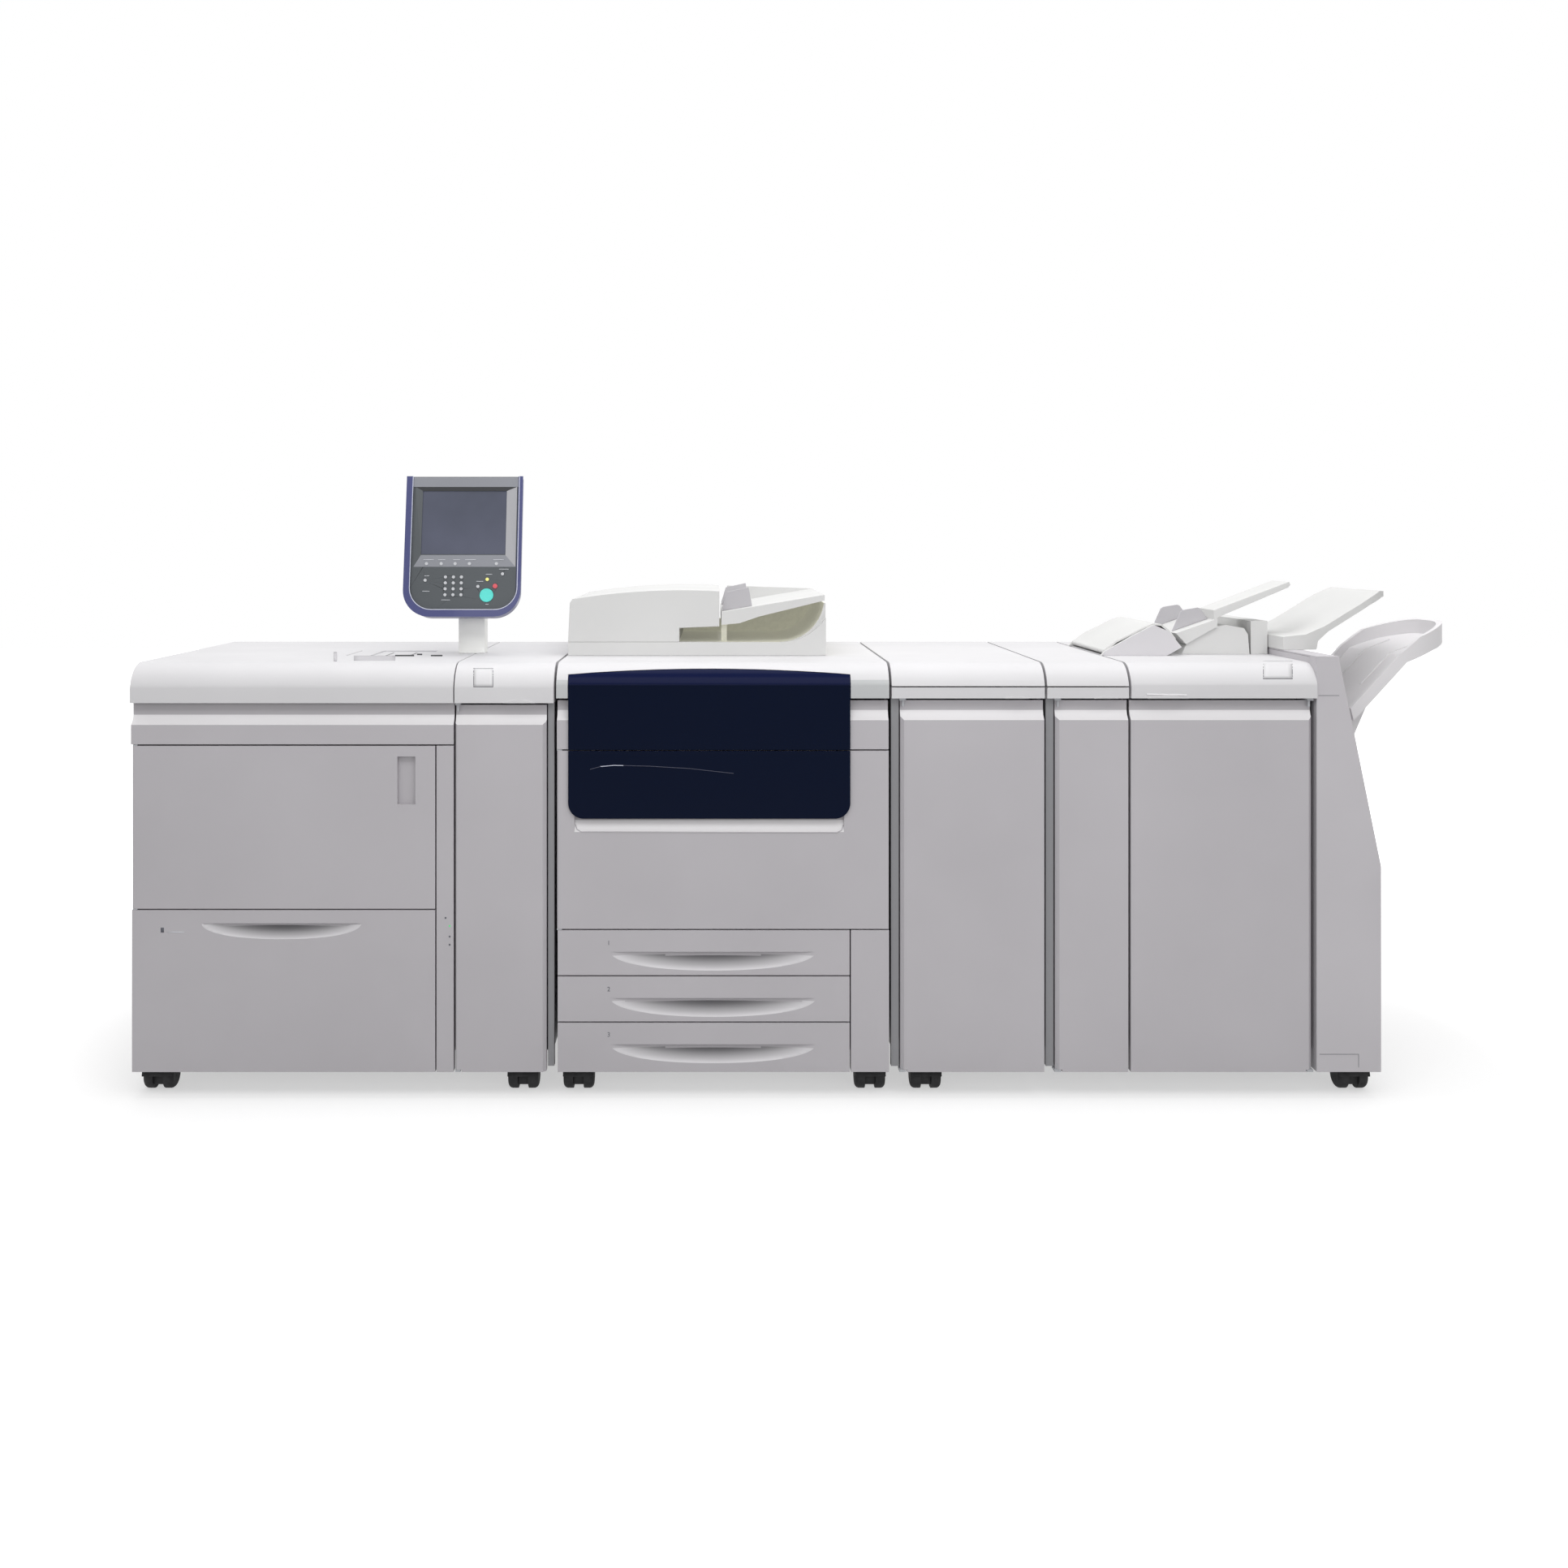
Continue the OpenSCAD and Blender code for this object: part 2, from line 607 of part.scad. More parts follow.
adf_x = engine_x + 3;
adf_right = adf_x + adf_w;
adf_back = body_d - 8;
adf_low = top_z + 2 * touch;
adf_deck = top_z + adf_band_h;
adf_top = top_z + adf_h;
feed_cover_low = adf_deck + touch;
feed_cover_h = adf_top - feed_cover_low;
adf_side = 14;
output_share = 0.735;
output_x = adf_x + output_share * adf_cover_w;
feed_drive_h = 60;
// Curved catch: its front rim and its end wall follow two circles that touch the deck at one point
catch_x = adf_right - 115;
rim_r = 140;
wall_r = 112;
catch_h = 97;
input_low = [adf_x + adf_cover_w + 5, adf_deck + 43];
input_high = [adf_right - 3, adf_deck + 104];
input_deck_low = [input_low[0], adf_deck + 75];
input_deck_high = [input_high[0], adf_deck + 118];
input_knee = [[45, 4], [95, 21]];
input_fence = [[18, 34], [18, 83]];
fence_t = 12;
input_axis = input_low + [7, 16];
ear_over = 7;
ear_in = 60;
ear_t = 6;
ear_w = 14;
notch_r = 10.5;
rear_wall_t = 40;
rear_wall_low = 34;
// Room under the input tray's hinged end, which dips as the tray turns up
end_dip = 3;
input_end = 2;
guide_t = 4;
guide_points = [[2, 0], [78, 0], [69, 49], [14, 46], [2, 8]];
guide_travel = 100;
guide_y = [adf_y + 48, adf_back - 92];
// The cover's top is an arc whose crown lies at a share of the cover's width
feed_top_r = 1680;
feed_crown_share = 0.75;
feed_outer_shares = [
    [0, 0], [0.012, 0.75], [0.03, 0.83], [0.03, 1.05], [1, 1.05], [1, 0.3], [output_share, 0.27], [output_share, 0]
];
feed_inner_shares = [[0.02, -0.05], [0.03, 0.7], [0.045, 0.76], [0.045, 1.05], [0.7, 1.05], [0.7, -0.05]];

module feed_outline(shares, inset) intersection() {
    polygon([for (p = shares) [adf_x + p[0] * adf_cover_w, feed_cover_low + p[1] * feed_cover_h]]);
    translate([adf_x + feed_crown_share * adf_cover_w, adf_top - feed_top_r]) circle(r = feed_top_r - inset, $fn = 1440);
}

// Catch wall from the deck up to a circle of radius r
module catch_wall(y, d, r) difference() {
    block([catch_x, adf_right], [y, y + d], [adf_deck, adf_deck + min(catch_h, r)]);
    rod_y(catch_x, y - cut, d + 2 * cut, adf_deck + r, r);
}

module adf_base() color(warm_white) stand() {
    block([adf_x, adf_right], [adf_y, adf_back], [adf_low, adf_deck]);
    // Feed mechanism under the cover
    block([adf_x + 24, output_x - 24], [adf_y + 30, adf_back - 30], [adf_deck, adf_deck + feed_drive_h]);
    // Curved catch at the end of the output tray, carrying the input tray
    catch_wall(adf_y, adf_side, rim_r);
    catch_wall(adf_y + adf_side, adf_back - adf_y - adf_side, wall_r);
    // Rear wall behind the output, up to the input tray
    along_y(adf_back - rear_wall_t, rear_wall_t) polygon([
        [output_x + touch, adf_deck], [adf_right, adf_deck], [adf_right, adf_deck + catch_h],
        input_high - [0, 2 * touch], input_low + input_knee[1] - [0, cut], input_low + input_knee[0] - [0, cut],
        input_low - [0, end_dip], [input_low[0], adf_deck + rear_wall_low], [output_x + touch, adf_deck + rear_wall_low]
    ]);
    // Ears that carry the input tray on pins
    for (y = [adf_y + ear_in, adf_back - ear_in - ear_t]) {
        block([input_low[0], input_low[0] + ear_w], [y, y + ear_t], [adf_deck, input_axis[1] + ear_over]);
        rod_y(input_axis[0], y - pin_l, ear_t + 2 * pin_l, input_axis[1], pin_r);
    }
}

module adf_feed_cover() color(warm_white) stand() difference() {
    along_y(adf_y + 2, adf_back - adf_y - 4) feed_outline(feed_outer_shares, 0);
    along_y(adf_y + 2 + skin, adf_back - adf_y - 4 - 2 * skin) feed_outline(feed_inner_shares, skin);
}

module adf_input_tray() color(white) stand() difference() {
    union() {
        along_y(adf_y + input_end, adf_back - adf_y - 2 * input_end) polygon([
            input_low, input_low + input_knee[0], input_low + input_knee[1], input_high,
            input_deck_high, input_deck_low
        ]);
        // Raised fence along the rear
        along_y(adf_back - input_end - fence_t, fence_t) polygon([
            input_low + input_fence[0], input_deck_high, input_low + input_fence[1]
        ]);
    }
    // Notches for the ears, and the pins' bores
    for (y = [adf_y + ear_in, adf_back - ear_in - ear_t]) {
        block([input_low[0] - cut, input_axis[0] + notch_r], [y - touch, y + ear_t + touch],
            [input_low[1] - cut, input_axis[1] + notch_r]);
        rod_y(input_axis[0], y - pin_l - touch, ear_t + 2 * (pin_l + touch), input_axis[1], pin_r + pin_fit);
    }
}

// An upright paper guide on a sloping tray, its points given along the tray and above it
module paper_guide(low, high, y, points, thickness) {
    slope = (high[1] - low[1]) / (high[0] - low[0]);
    along_y(y, thickness) polygon([for (p = points) [low[0] + p[0], low[1] + touch + p[0] * slope + p[1]]]);
}

module adf_guide_front() color(mid_grey) stand()
    paper_guide(input_deck_low, input_deck_high, guide_y[0], guide_points, guide_t);

module adf_guide_rear() color(mid_grey) stand()
    paper_guide(input_deck_low, input_deck_high, guide_y[1], guide_points, guide_t);

// Operator panel on its post

ui_x = post_x - 14;
ui_y = 250;
ui_edge = 8;
ui_recess = 8;
ui_corner = 66;
bezel_t = 4;
screen_w = 216;
screen_h = 166;
screen_low = 158;
key_r = 4;
key_play = 0.3;
key_l = 8;
key_proud = 1.5;
key_travel = 1.5;
start_r = 17;
stop_r = 6;
start_at = [62, 54];
stop_at = [83, 77];
number_pitch = [20, 15];
number_at = [-42, 100];
function_at = [[-91, 134], [-54, 134], [-19, 134], [17, 134], [85, 134], [-93, 92], [63, 94], [40, 76], [101, 108]];
neck_r = 18;
neck_h = 62;
post_top = ui_z + 47;
lug_x = [16, 28];
lug_out = 16;
lug_z = 98;
lug_r = 14;
tilt_pin_r = 6;
tilt_y = ui_y + (ui_t + lug_out) * cos(ui_lean) + lug_z * sin(ui_lean);
tilt_z = ui_z - (ui_t + lug_out) * sin(ui_lean) + lug_z * cos(ui_lean);

// The panel's own frame: x across, y into the panel and z up along its face
module on_panel() translate([ui_x, ui_y, ui_z]) rotate([-ui_lean, 0, 0]) children();

// A button or its hole at a place on the panel
module panel_round(at, y, depth, r) translate([at[0], y, at[1]]) rotate([-90, 0, 0]) cylinder(h = depth, r = r, $fn = 32);

// Panel outline with wide round lower corners
module ui_outline(inset, rise = 0) {
    r = ui_corner - inset;
    w = ui_w / 2 - inset;
    for (side = [-1, 1]) translate([side * (w - r), inset + r]) circle(r = r, $fn = 64);
    translate([r - w, inset]) square([2 * (w - r), r]);
    translate([-w, inset + r]) square([2 * w, ui_h - 2 * inset - r + rise]);
}

module panel_plate(inset, y, depth, rise = 0) translate([0, y + depth, 0]) rotate([90, 0, 0])
    linear_extrude(depth) ui_outline(inset, rise);

module ui_post() color(warm_white) stand() translate([0, 0, top_z + touch]) linear_extrude(post_top - top_z - touch)
    polygon([
        [post_x - post_w / 2, post_y - 22], [post_x - post_w / 4, post_y - 30], [post_x + post_w / 4, post_y - 30],
        [post_x + post_w / 2, post_y - 22], [post_x + post_w / 2, post_y + 30], [post_x - post_w / 2, post_y + 30]
    ]);

module ui_neck() color(warm_white) stand() {
    translate([post_x, post_y, post_top + touch]) cylinder(h = neck_h, r = neck_r, $fn = 48);
    block([post_x - lug_x[0] + touch, post_x + lug_x[0] - touch], [tilt_y, post_y], [tilt_z - lug_r + 2, tilt_z + lug_r - 2]);
    rod_x(post_x - lug_x[0] + touch, 2 * (lug_x[0] - touch), tilt_y, tilt_z, lug_r - 2);
    rod_x(post_x - lug_x[1], 2 * lug_x[1], tilt_y, tilt_z, tilt_pin_r);
}

// Two lugs on the housing's back turn on the neck's pin
module ui_housing() color(blue_frame) stand() on_panel() difference() {
    union() {
        panel_plate(0, 0, ui_t);
        for (x = [post_x - ui_x - lug_x[1], post_x - ui_x + lug_x[0]]) {
            rod_x(x, lug_x[1] - lug_x[0], ui_t + lug_out, lug_z, lug_r);
            block([x, x + lug_x[1] - lug_x[0]], [ui_t - cut, ui_t + lug_out], [lug_z - lug_r, lug_z + lug_r]);
        }
    }
    panel_plate(ui_edge, -cut, ui_recess + cut, ui_edge + cut);
    rod_x(post_x - ui_x - lug_x[1] - cut, 2 * (lug_x[1] + cut), ui_t + lug_out, lug_z, tilt_pin_r + pin_fit);
}

module ui_bezel() color(dark_grey) stand() on_panel() difference() {
    panel_plate(ui_edge + touch, ui_recess - bezel_t - touch, bezel_t, ui_edge + touch);
    translate([-screen_w / 2, -cut, screen_low]) cube([screen_w, ui_recess + 2 * cut, screen_h]);
    for (i = [0:2], j = [0:3]) panel_round(number_at + [i * number_pitch[0], -j * number_pitch[1]], -cut, ui_t, key_r + key_play);
    for (at = function_at) panel_round(at, -cut, ui_t, key_r + key_play);
    panel_round(start_at, -cut, ui_t, start_r + key_play);
    panel_round(stop_at, -cut, ui_t, stop_r + key_play);
}

module ui_screen() color([0.36, 0.38, 0.43]) stand() on_panel()
    translate([-screen_w / 2 + touch, ui_recess - 2 - touch, screen_low + touch])
        cube([screen_w - 2 * touch, 2, screen_h - 2 * touch]);

// Keys stop short of the housing's floor by their travel
module panel_key(at, r) panel_round(at, ui_recess - bezel_t - touch - key_proud, bezel_t + key_proud - key_travel, r);

module number_keys() color(light_grey) stand() on_panel()
    for (i = [0:2], j = [0:3]) panel_key(number_at + [i * number_pitch[0], -j * number_pitch[1]], key_r);

module function_keys() color(light_grey) stand() on_panel() for (at = function_at) panel_key(at, key_r);

module start_button() color([0.3, 0.75, 0.72]) stand() on_panel() panel_key(start_at, start_r);

module stop_button() color([0.8, 0.3, 0.33]) stand() on_panel() panel_key(stop_at, stop_r);

// Interface module, folder and finisher

interface_door_x = [interface_x + channel_w + seam, interface_x + interface_w];
folder_door_x = [folder_x + channel_w + seam, folder_x + folder_w];
finisher_door_x = [finisher_x, end_x - 10];
end_t = 40;
end_channel_x = end_x + 50;

module inner_panel(x, w) block([x + skin + 2 * touch + plate, x + w - skin - 2 * touch - plate], [inner_y, inner_y + plate],
    [base_z + plate + touch, frame_top_z - plate - touch]);

module interface_frame() color(steel) stand() {
    carcass(interface_x + skin + touch, interface_w - 2 * (skin + touch), frame_top_z);
    inner_panel(interface_x, interface_w);
    tall_hinge(1, interface_door_x[0], interface_door_x[0] - seam + touch, cover_z - door_top_gap);
}

// A cover that ends at the crease, the strip below it and the recessed channel beside the door
module split_cover(x, w, latch) {
    top_cover(x, w, crease_z, crease_z - touch);
    block([x, x + w], [-cover_proud, frame_y - touch], [cover_z, crease_z - touch - seam]);
    latch_grip(x + w - latch, cover_z, latch_small);
    block([x, x + channel_w], [channel_d, frame_y - touch], [floor_gap + 10, cover_z - touch]);
}

module interface_top_cover() color(white) stand() split_cover(interface_x, interface_w, latch_in[1]);
module folder_top_cover() color(white) stand() split_cover(folder_x, folder_w, latch_in[2]);
module interface_door() color(light_grey) stand() tall_door(interface_door_x, lip_z, cover_z - door_top_gap, -1, 1);
module folder_door() color(light_grey) stand() tall_door(folder_door_x, lip_z, cover_z - door_top_gap, -1, 1);
module finisher_door() color(light_grey) stand() tall_door(finisher_door_x, lip_z, cover_z - door_top_gap, 1, -1);

module finisher_frame() color(steel) stand() {
    carcass(folder_x + skin + touch, folder_w - 2 * (skin + touch), frame_top_z);
    carcass(finisher_x + skin + touch, finisher_w - 2 * (skin + touch), frame_top_z);
    inner_panel(folder_x, folder_w);
    tall_hinge(1, folder_door_x[0], folder_door_x[0] - seam + touch, cover_z - door_top_gap);
    tall_hinge(-1, finisher_door_x[1], finisher_door_x[1] + seam, cover_z - door_top_gap);
    inner_panel(finisher_x, finisher_w);
    block([end_x + touch, end_wall_x - skin - touch], [end_t + touch, body_d - end_t - touch], [base_z, base_z + plate]);
}

module finisher_top_cover() color(white) stand() {
    top_cover(finisher_x, finisher_w, crease_z, cover_z);
    latch_grip(finisher_x + latch_in[3], cover_z, latch_long);
}

module end_outline() polygon([
    [end_x + touch, floor_gap], [end_wall_x, floor_gap], [end_wall_x, slope_z],
    [end_x + end_top_w, end_top_z], [end_x + touch, end_top_z]
]);

module finisher_end_cover() color(light_grey) stand() {
    for (y = [0, body_d - end_t]) along_y(y, end_t) end_outline();
    // Lower side wall, its ledge, and the upper wall that the stacker tray runs along
    span = [end_t + touch, body_d - end_t - touch];
    block([end_wall_x - skin, end_wall_x], span, [floor_gap, slope_z]);
    block([end_channel_x, end_wall_x - skin - touch], span, [slope_z - skin, slope_z]);
    block([end_channel_x - skin - touch, end_channel_x - touch], span, [slope_z - skin, end_top_z - skin - touch]);
    block([end_x + touch, end_channel_x - touch], span, [end_top_z - skin, end_top_z]);
    block([end_x + touch, end_x + touch + skin], span, [base_z + plate + touch, end_top_z - skin - touch]);
}

module finisher_rear_cover() color(light_grey) stand() difference() {
    block([interface_x, end_x - touch], [back_y + touch, body_d], [floor_gap, cover_z - touch]);
    cooling_slots([folder_x, folder_x + 240], 324, 8);
}

// Outlines of the stacker tray, from the end wall and the tray's lowest edge
stack_low = 859;
stack_y = [190, 540];
stack_rim = 14;
stack_corner_r = 150;
stack_under = [[17, 0], [77, 65], [148, 143], [213, 168], [stacker_reach, 192]];
stack_top = [[stacker_reach, 226], [283, 240], [243, 227], [183, 205], [128, 161], [9, 30]];
stack_bed = [[9, 13], [77, 79], [148, 156], [213, 182], [276, 202]];
stack_open = [[276, 365], [-17, 365], [-17, -13]];
stack_gusset = [[17, 0], [74, 52], [27, -58], [9, -35]];
gusset_t = 20;
rib_h = 3;
rib_t = 10;
rib_y = [290, 430];
carriage_y = [230, 500];
carriage_end = 19;
carriage_z = [stack_low - 49, stack_low + 7];

module stack_outline(points) polygon([for (p = points) [end_wall_x + p[0], stack_low + p[1]]]);

// Plan of a tray whose outer end has round corners
module tray_plan(x, y, r) {
    translate([x[0], y[0]]) square([x[1] - x[0] - r, y[1] - y[0]]);
    translate([x[0], y[0] + r]) square([x[1] - x[0], y[1] - y[0] - 2 * r]);
    for (cy = [y[0] + r, y[1] - r]) translate([x[1] - r, cy]) circle(r = r, $fn = 128);
}

module stacker_tray() color(mid_grey) stand() {
    inner_y = [stack_y[0] + stack_rim, stack_y[1] - stack_rim];
    end = end_wall_x + stacker_reach;
    intersection() {
        difference() {
            along_y(stack_y[0], stack_y[1] - stack_y[0]) stack_outline(concat(stack_under, stack_top));
            intersection() {
                along_y(inner_y[0], inner_y[1] - inner_y[0]) stack_outline(concat(stack_bed, stack_open));
                translate([0, 0, stack_low - stack_rim]) linear_extrude(2 * stacker_reach)
                    tray_plan([end_wall_x - stack_rim, end - stack_rim], inner_y, stack_corner_r - stack_rim);
            }
        }
        translate([0, 0, stack_low - cut]) linear_extrude(2 * stacker_reach)
            tray_plan([end_wall_x, end], stack_y, stack_corner_r);
    }
    // Ribs along the bed
    for (y = rib_y) along_y(y, rib_t) stack_outline([
        for (i = [1:3]) stack_bed[i] - [0, cut], for (i = [3:-1:1]) stack_bed[i] + [0, rib_h]
    ]);
    for (y = [carriage_y[0], carriage_y[1] - gusset_t]) along_y(y, gusset_t) stack_outline(stack_gusset);
    block([end_channel_x + touch, end_wall_x + carriage_end], carriage_y, carriage_z);
}

// Outline of the top tray, from the end cover's upper left corner
top_tray_y = [200, 540];
top_tray_r = 90;
top_tray_points = [
    [-2, touch], [80, touch], [84, 22], [110, 46], [212, 110], [254, 129], [277, 131],
    [277, 142], [246, 145], [210, 126], [100, 58], [54, 38], [-2, 32]
];
module top_tray() color(warm_white) stand() intersection() {
    along_y(top_tray_y[0], top_tray_y[1] - top_tray_y[0])
        polygon([for (p = top_tray_points) [end_x + p[0], end_top_z + p[1]]]);
    translate([0, 0, end_top_z]) linear_extrude(stacker_reach)
        tray_plan([end_x - cover_r, end_x + top_tray_points[6][0]], top_tray_y, top_tray_r);
}

// Sheet inserter on the finisher's top, its outlines taken from its left end and the cabinet top
inserter_y = [body_d - 515, body_d - 160];
inserter_x = finisher_x - 16;
inserter_plate_t = 12;
hood_y = [inserter_y[0] + inserter_plate_t + touch, inserter_y[1] - inserter_plate_t - touch];
hood_axis = [24, 10];
hood_tube_r = 6;
plate_points = [[10, touch], [18, 10], [91, 51], [142, 77], [178, 61], [198, 38], [211, 21], [174, touch]];
drive_points = [[30, touch], [60, 20], [91, 36], [142, 60], [175, 45], [193, 25], [190, 12], [174, touch]];
hood_points = [
    [20, 14], [50, 36], [91, 56], [120, 71], [143, 80], [165, 78], [185, 62], [200, 42],
    [196, 40], [182, 58], [163, 74], [144, 76], [121.5, 67.2], [92.5, 52.2], [52, 32.2], [24, 10]
];
pedestal_points = [[226, touch], [240, 29], [314, 70.6], [340, 74], [384, 66], [394, 50], [398, touch]];
pedestal_in = 10;
insert_points = [[234, 26], [314, 71], [314, 91], [208, 54]];
extension_points = [[305, 84], [317, 95], [492, 169], [498, 176], [494, 184], [317, 117], [305, 112]];
insert_in = 40;
extension_w = 115;
insert_tray_low = [inserter_x + insert_points[3][0], top_z + insert_points[3][1]];
insert_tray_high = [inserter_x + insert_points[2][0], top_z + insert_points[2][1]];
insert_guide_points = [[4, 0], [96, 0], [76, 34], [70, 38], [32, 45], [26, 42]];
insert_guide_in = [85, 100];
exit_w = 42;
exit_gap = 4;
exit_y = [300, body_d - 60];
exit_h = 84;

module inserter_outline(points) polygon([for (p = points) [inserter_x + p[0], top_z + p[1]]]);

module inserter_body() color(warm_white) stand() {
    for (y = [inserter_y[0], inserter_y[1] - inserter_plate_t]) along_y(y, inserter_plate_t) inserter_outline(plate_points);
    along_y(inserter_y[0], inserter_y[1] - inserter_y[0]) inserter_outline(drive_points);
    // Pins that carry the hood
    for (y = [inserter_y[0] + cut, hood_y[1] - pin_l])
        rod_y(inserter_x + hood_axis[0], y, inserter_plate_t + pin_l - cut, top_z + hood_axis[1], pin_r);
    // Pedestal of the insert tray, and the exit housing beside the end cover
    along_y(inserter_y[0] + insert_in + pedestal_in, inserter_y[1] - inserter_y[0] - 2 * insert_in - pedestal_in)
        inserter_outline(pedestal_points);
    block([end_x - exit_gap - exit_w, end_x - exit_gap], exit_y, [top_z + touch, top_z + exit_h]);
}

module inserter_cover() color(white) stand() difference() {
    along_y(hood_y[0], hood_y[1] - hood_y[0]) union() {
        inserter_outline(hood_points);
        translate([inserter_x + hood_axis[0], top_z + hood_axis[1]]) circle(r = hood_tube_r, $fn = 48);
    }
    for (y = [hood_y[0] - cut, hood_y[1] - pin_l - touch])
        rod_y(inserter_x + hood_axis[0], y, pin_l + cut + touch, top_z + hood_axis[1], pin_r + pin_fit);
}

module inserter_tray() color(white) stand() {
    along_y(inserter_y[0] + insert_in, inserter_y[1] - inserter_y[0] - 2 * insert_in) inserter_outline(insert_points);
    along_y(inserter_y[0] + insert_in, extension_w) inserter_outline(extension_points);
}

module inserter_guide_front() color(light_grey) stand()
    paper_guide(insert_tray_low, insert_tray_high, inserter_y[0] + insert_guide_in[0], insert_guide_points, guide_t);

module inserter_guide_rear() color(light_grey) stand()
    paper_guide(insert_tray_low, insert_tray_high, inserter_y[1] - insert_guide_in[1], insert_guide_points, guide_t);

// Casters

wheel_w = 24;
wheel_round = 11;
hood_w = caster_w - 2 * wheel_w - 2 * touch;
hood_l = 22;
hood_low = 14;
bracket_l = 30;
bracket_t = 6;
cap_gap = 1;
cap_t = 3;
cap_z = wheel_r + 5;
caster_x = [feeder_x + 46, transport_x + 153, engine_x + 47, engine_x + 737, interface_x + 87, end_x + 107];
caster_rows = [caster_y, body_d - caster_y];

// Half-round cap over a pair of wheels
module caster_cap(x, y) difference() {
    rod_x(x - caster_w / 2, caster_w, y, wheel_r, wheel_r + cap_gap + cap_t);
    rod_x(x - caster_w / 2 - cut, caster_w + 2 * cut, y, wheel_r, wheel_r + cap_gap);
    block([x - caster_w, x + caster_w], [y - 2 * wheel_r, y + 2 * wheel_r], [-wheel_r, cap_z]);
}

module caster_forks() color(black) stand() for (x = caster_x, y = caster_rows) difference() {
    union() {
        caster_cap(x, y);
        block([x - hood_w / 2, x + hood_w / 2], [y - hood_l, y + hood_l], [hood_low, base_z - bracket_t]);
        block([x - bracket_l, x + bracket_l], [y - bracket_l, y + bracket_l],
            [base_z - bracket_t - touch, base_z - touch]);
    }
    rod_x(x - hood_w, 2 * hood_w, y, wheel_r, axle_r + pin_fit);
}

// Tread of one wheel, its outer corner rounded
module wheel_section() difference() {
    square([wheel_r, wheel_w]);
    difference() {
        translate([wheel_r - wheel_round, wheel_w - wheel_round]) square(wheel_round + cut);
        translate([wheel_r - wheel_round, wheel_w - wheel_round]) circle(r = wheel_round, $fn = 48);
    }
}

module caster_wheels(y) for (x = caster_x) {
    for (side = [-1, 1]) translate([x + side * (hood_w / 2 + touch), y, wheel_r]) rotate([0, side * 90, 0])
        rotate_extrude($fn = 64) wheel_section();
    rod_x(x - caster_w / 2 + wheel_w / 2, caster_w - wheel_w, y, wheel_r, axle_r);
}

module front_caster_wheels() color(black) stand() caster_wheels(caster_rows[0]);
module rear_caster_wheels() color(black) stand() caster_wheels(caster_rows[1]);

feeder_frame();
feeder_top_cover();
feeder_fascia();
feeder_side_cover();
feeder_rear_cover();
transport_top_cover();
storage_door();
feeder_drawer();
feeder_lift_plate();
transport_door();
engine_frame();
engine_top_cover();
platen_glass();
scanner_carriage();
engine_rear_cover();
engine_inner_cover();
toner_bottles();
drum_cartridges();
engine_column_cover();
toner_door();
toner_door_panel();
front_door();
front_door_panel();
tray_1();
tray_2();
tray_3();
adf_base();
adf_feed_cover();
adf_input_tray();
adf_guide_front();
adf_guide_rear();
ui_post();
ui_neck();
ui_housing();
ui_bezel();
ui_screen();
number_keys();
function_keys();
start_button();
stop_button();
interface_frame();
interface_top_cover();
interface_door();
finisher_frame();
folder_top_cover();
folder_door();
finisher_top_cover();
finisher_door();
finisher_end_cover();
finisher_rear_cover();
stacker_tray();
top_tray();
inserter_body();
inserter_cover();
inserter_tray();
inserter_guide_front();
inserter_guide_rear();
caster_forks();
front_caster_wheels();
rear_caster_wheels();
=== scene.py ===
# Looks of a digital production printer: paper feeder, print engine and finisher line on casters.
# Metres, +X to the right, +Y to the back, +Z up, origin on the floor at the middle of the footprint.

import functools
import json
import math

import bpy
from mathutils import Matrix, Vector
from mathutils.bvhtree import BVHTree


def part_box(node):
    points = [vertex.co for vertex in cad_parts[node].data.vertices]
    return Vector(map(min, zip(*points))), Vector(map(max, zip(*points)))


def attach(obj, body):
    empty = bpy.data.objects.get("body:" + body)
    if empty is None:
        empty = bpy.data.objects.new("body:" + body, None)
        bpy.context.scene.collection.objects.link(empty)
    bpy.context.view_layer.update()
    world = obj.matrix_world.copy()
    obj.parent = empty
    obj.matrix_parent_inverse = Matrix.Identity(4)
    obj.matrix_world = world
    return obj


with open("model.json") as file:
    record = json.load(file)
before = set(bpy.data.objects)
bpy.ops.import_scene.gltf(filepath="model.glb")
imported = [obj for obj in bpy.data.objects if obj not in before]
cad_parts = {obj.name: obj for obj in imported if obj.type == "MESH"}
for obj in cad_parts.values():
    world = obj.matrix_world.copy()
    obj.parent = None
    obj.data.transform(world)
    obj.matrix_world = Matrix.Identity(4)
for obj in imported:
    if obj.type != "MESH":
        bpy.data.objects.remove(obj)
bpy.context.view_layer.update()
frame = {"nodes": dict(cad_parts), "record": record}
NODES = frame["nodes"]

MM = 0.001
UPRIGHT = (math.radians(90), 0, 0)

# The photograph's frame: pixels from the upper left corner, and what they measure at the doors' faces
PHOTO_SIZE = 1932
PIXEL_MM = 1.893
MACHINE_LEFT_PX = 161
FLOOR_PX = 1353.7
AXIS_X_PX = 880
HORIZON_PX = 665

# The camera's distance from the door faces and its reach in metres, and its sensor in millimetres
CAMERA_DISTANCE = 3.5
CAMERA_REACH = 100
SENSOR_MM = 36

# The machine's left side and door faces in this frame
LEFT_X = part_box("feeder_side_cover")[0].x
DOOR_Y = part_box("transport_door")[0].y

# Strengths of the surroundings, as light on the machine and where they are seen
AMBIENT = 0.46
BACKDROP = 1.0
WHITE = (1, 1, 1, 1)

# The floor: half its size, the distances between which it fades, and its glow beside the machine
FLOOR_REACH = 14
FLOOR_FADE = (1.7, 3.0)
FLOOR_GLOW = 0.52
FLOOR_GREY = (196, 196, 196)
FLOOR_ROUGHNESS = 0.9

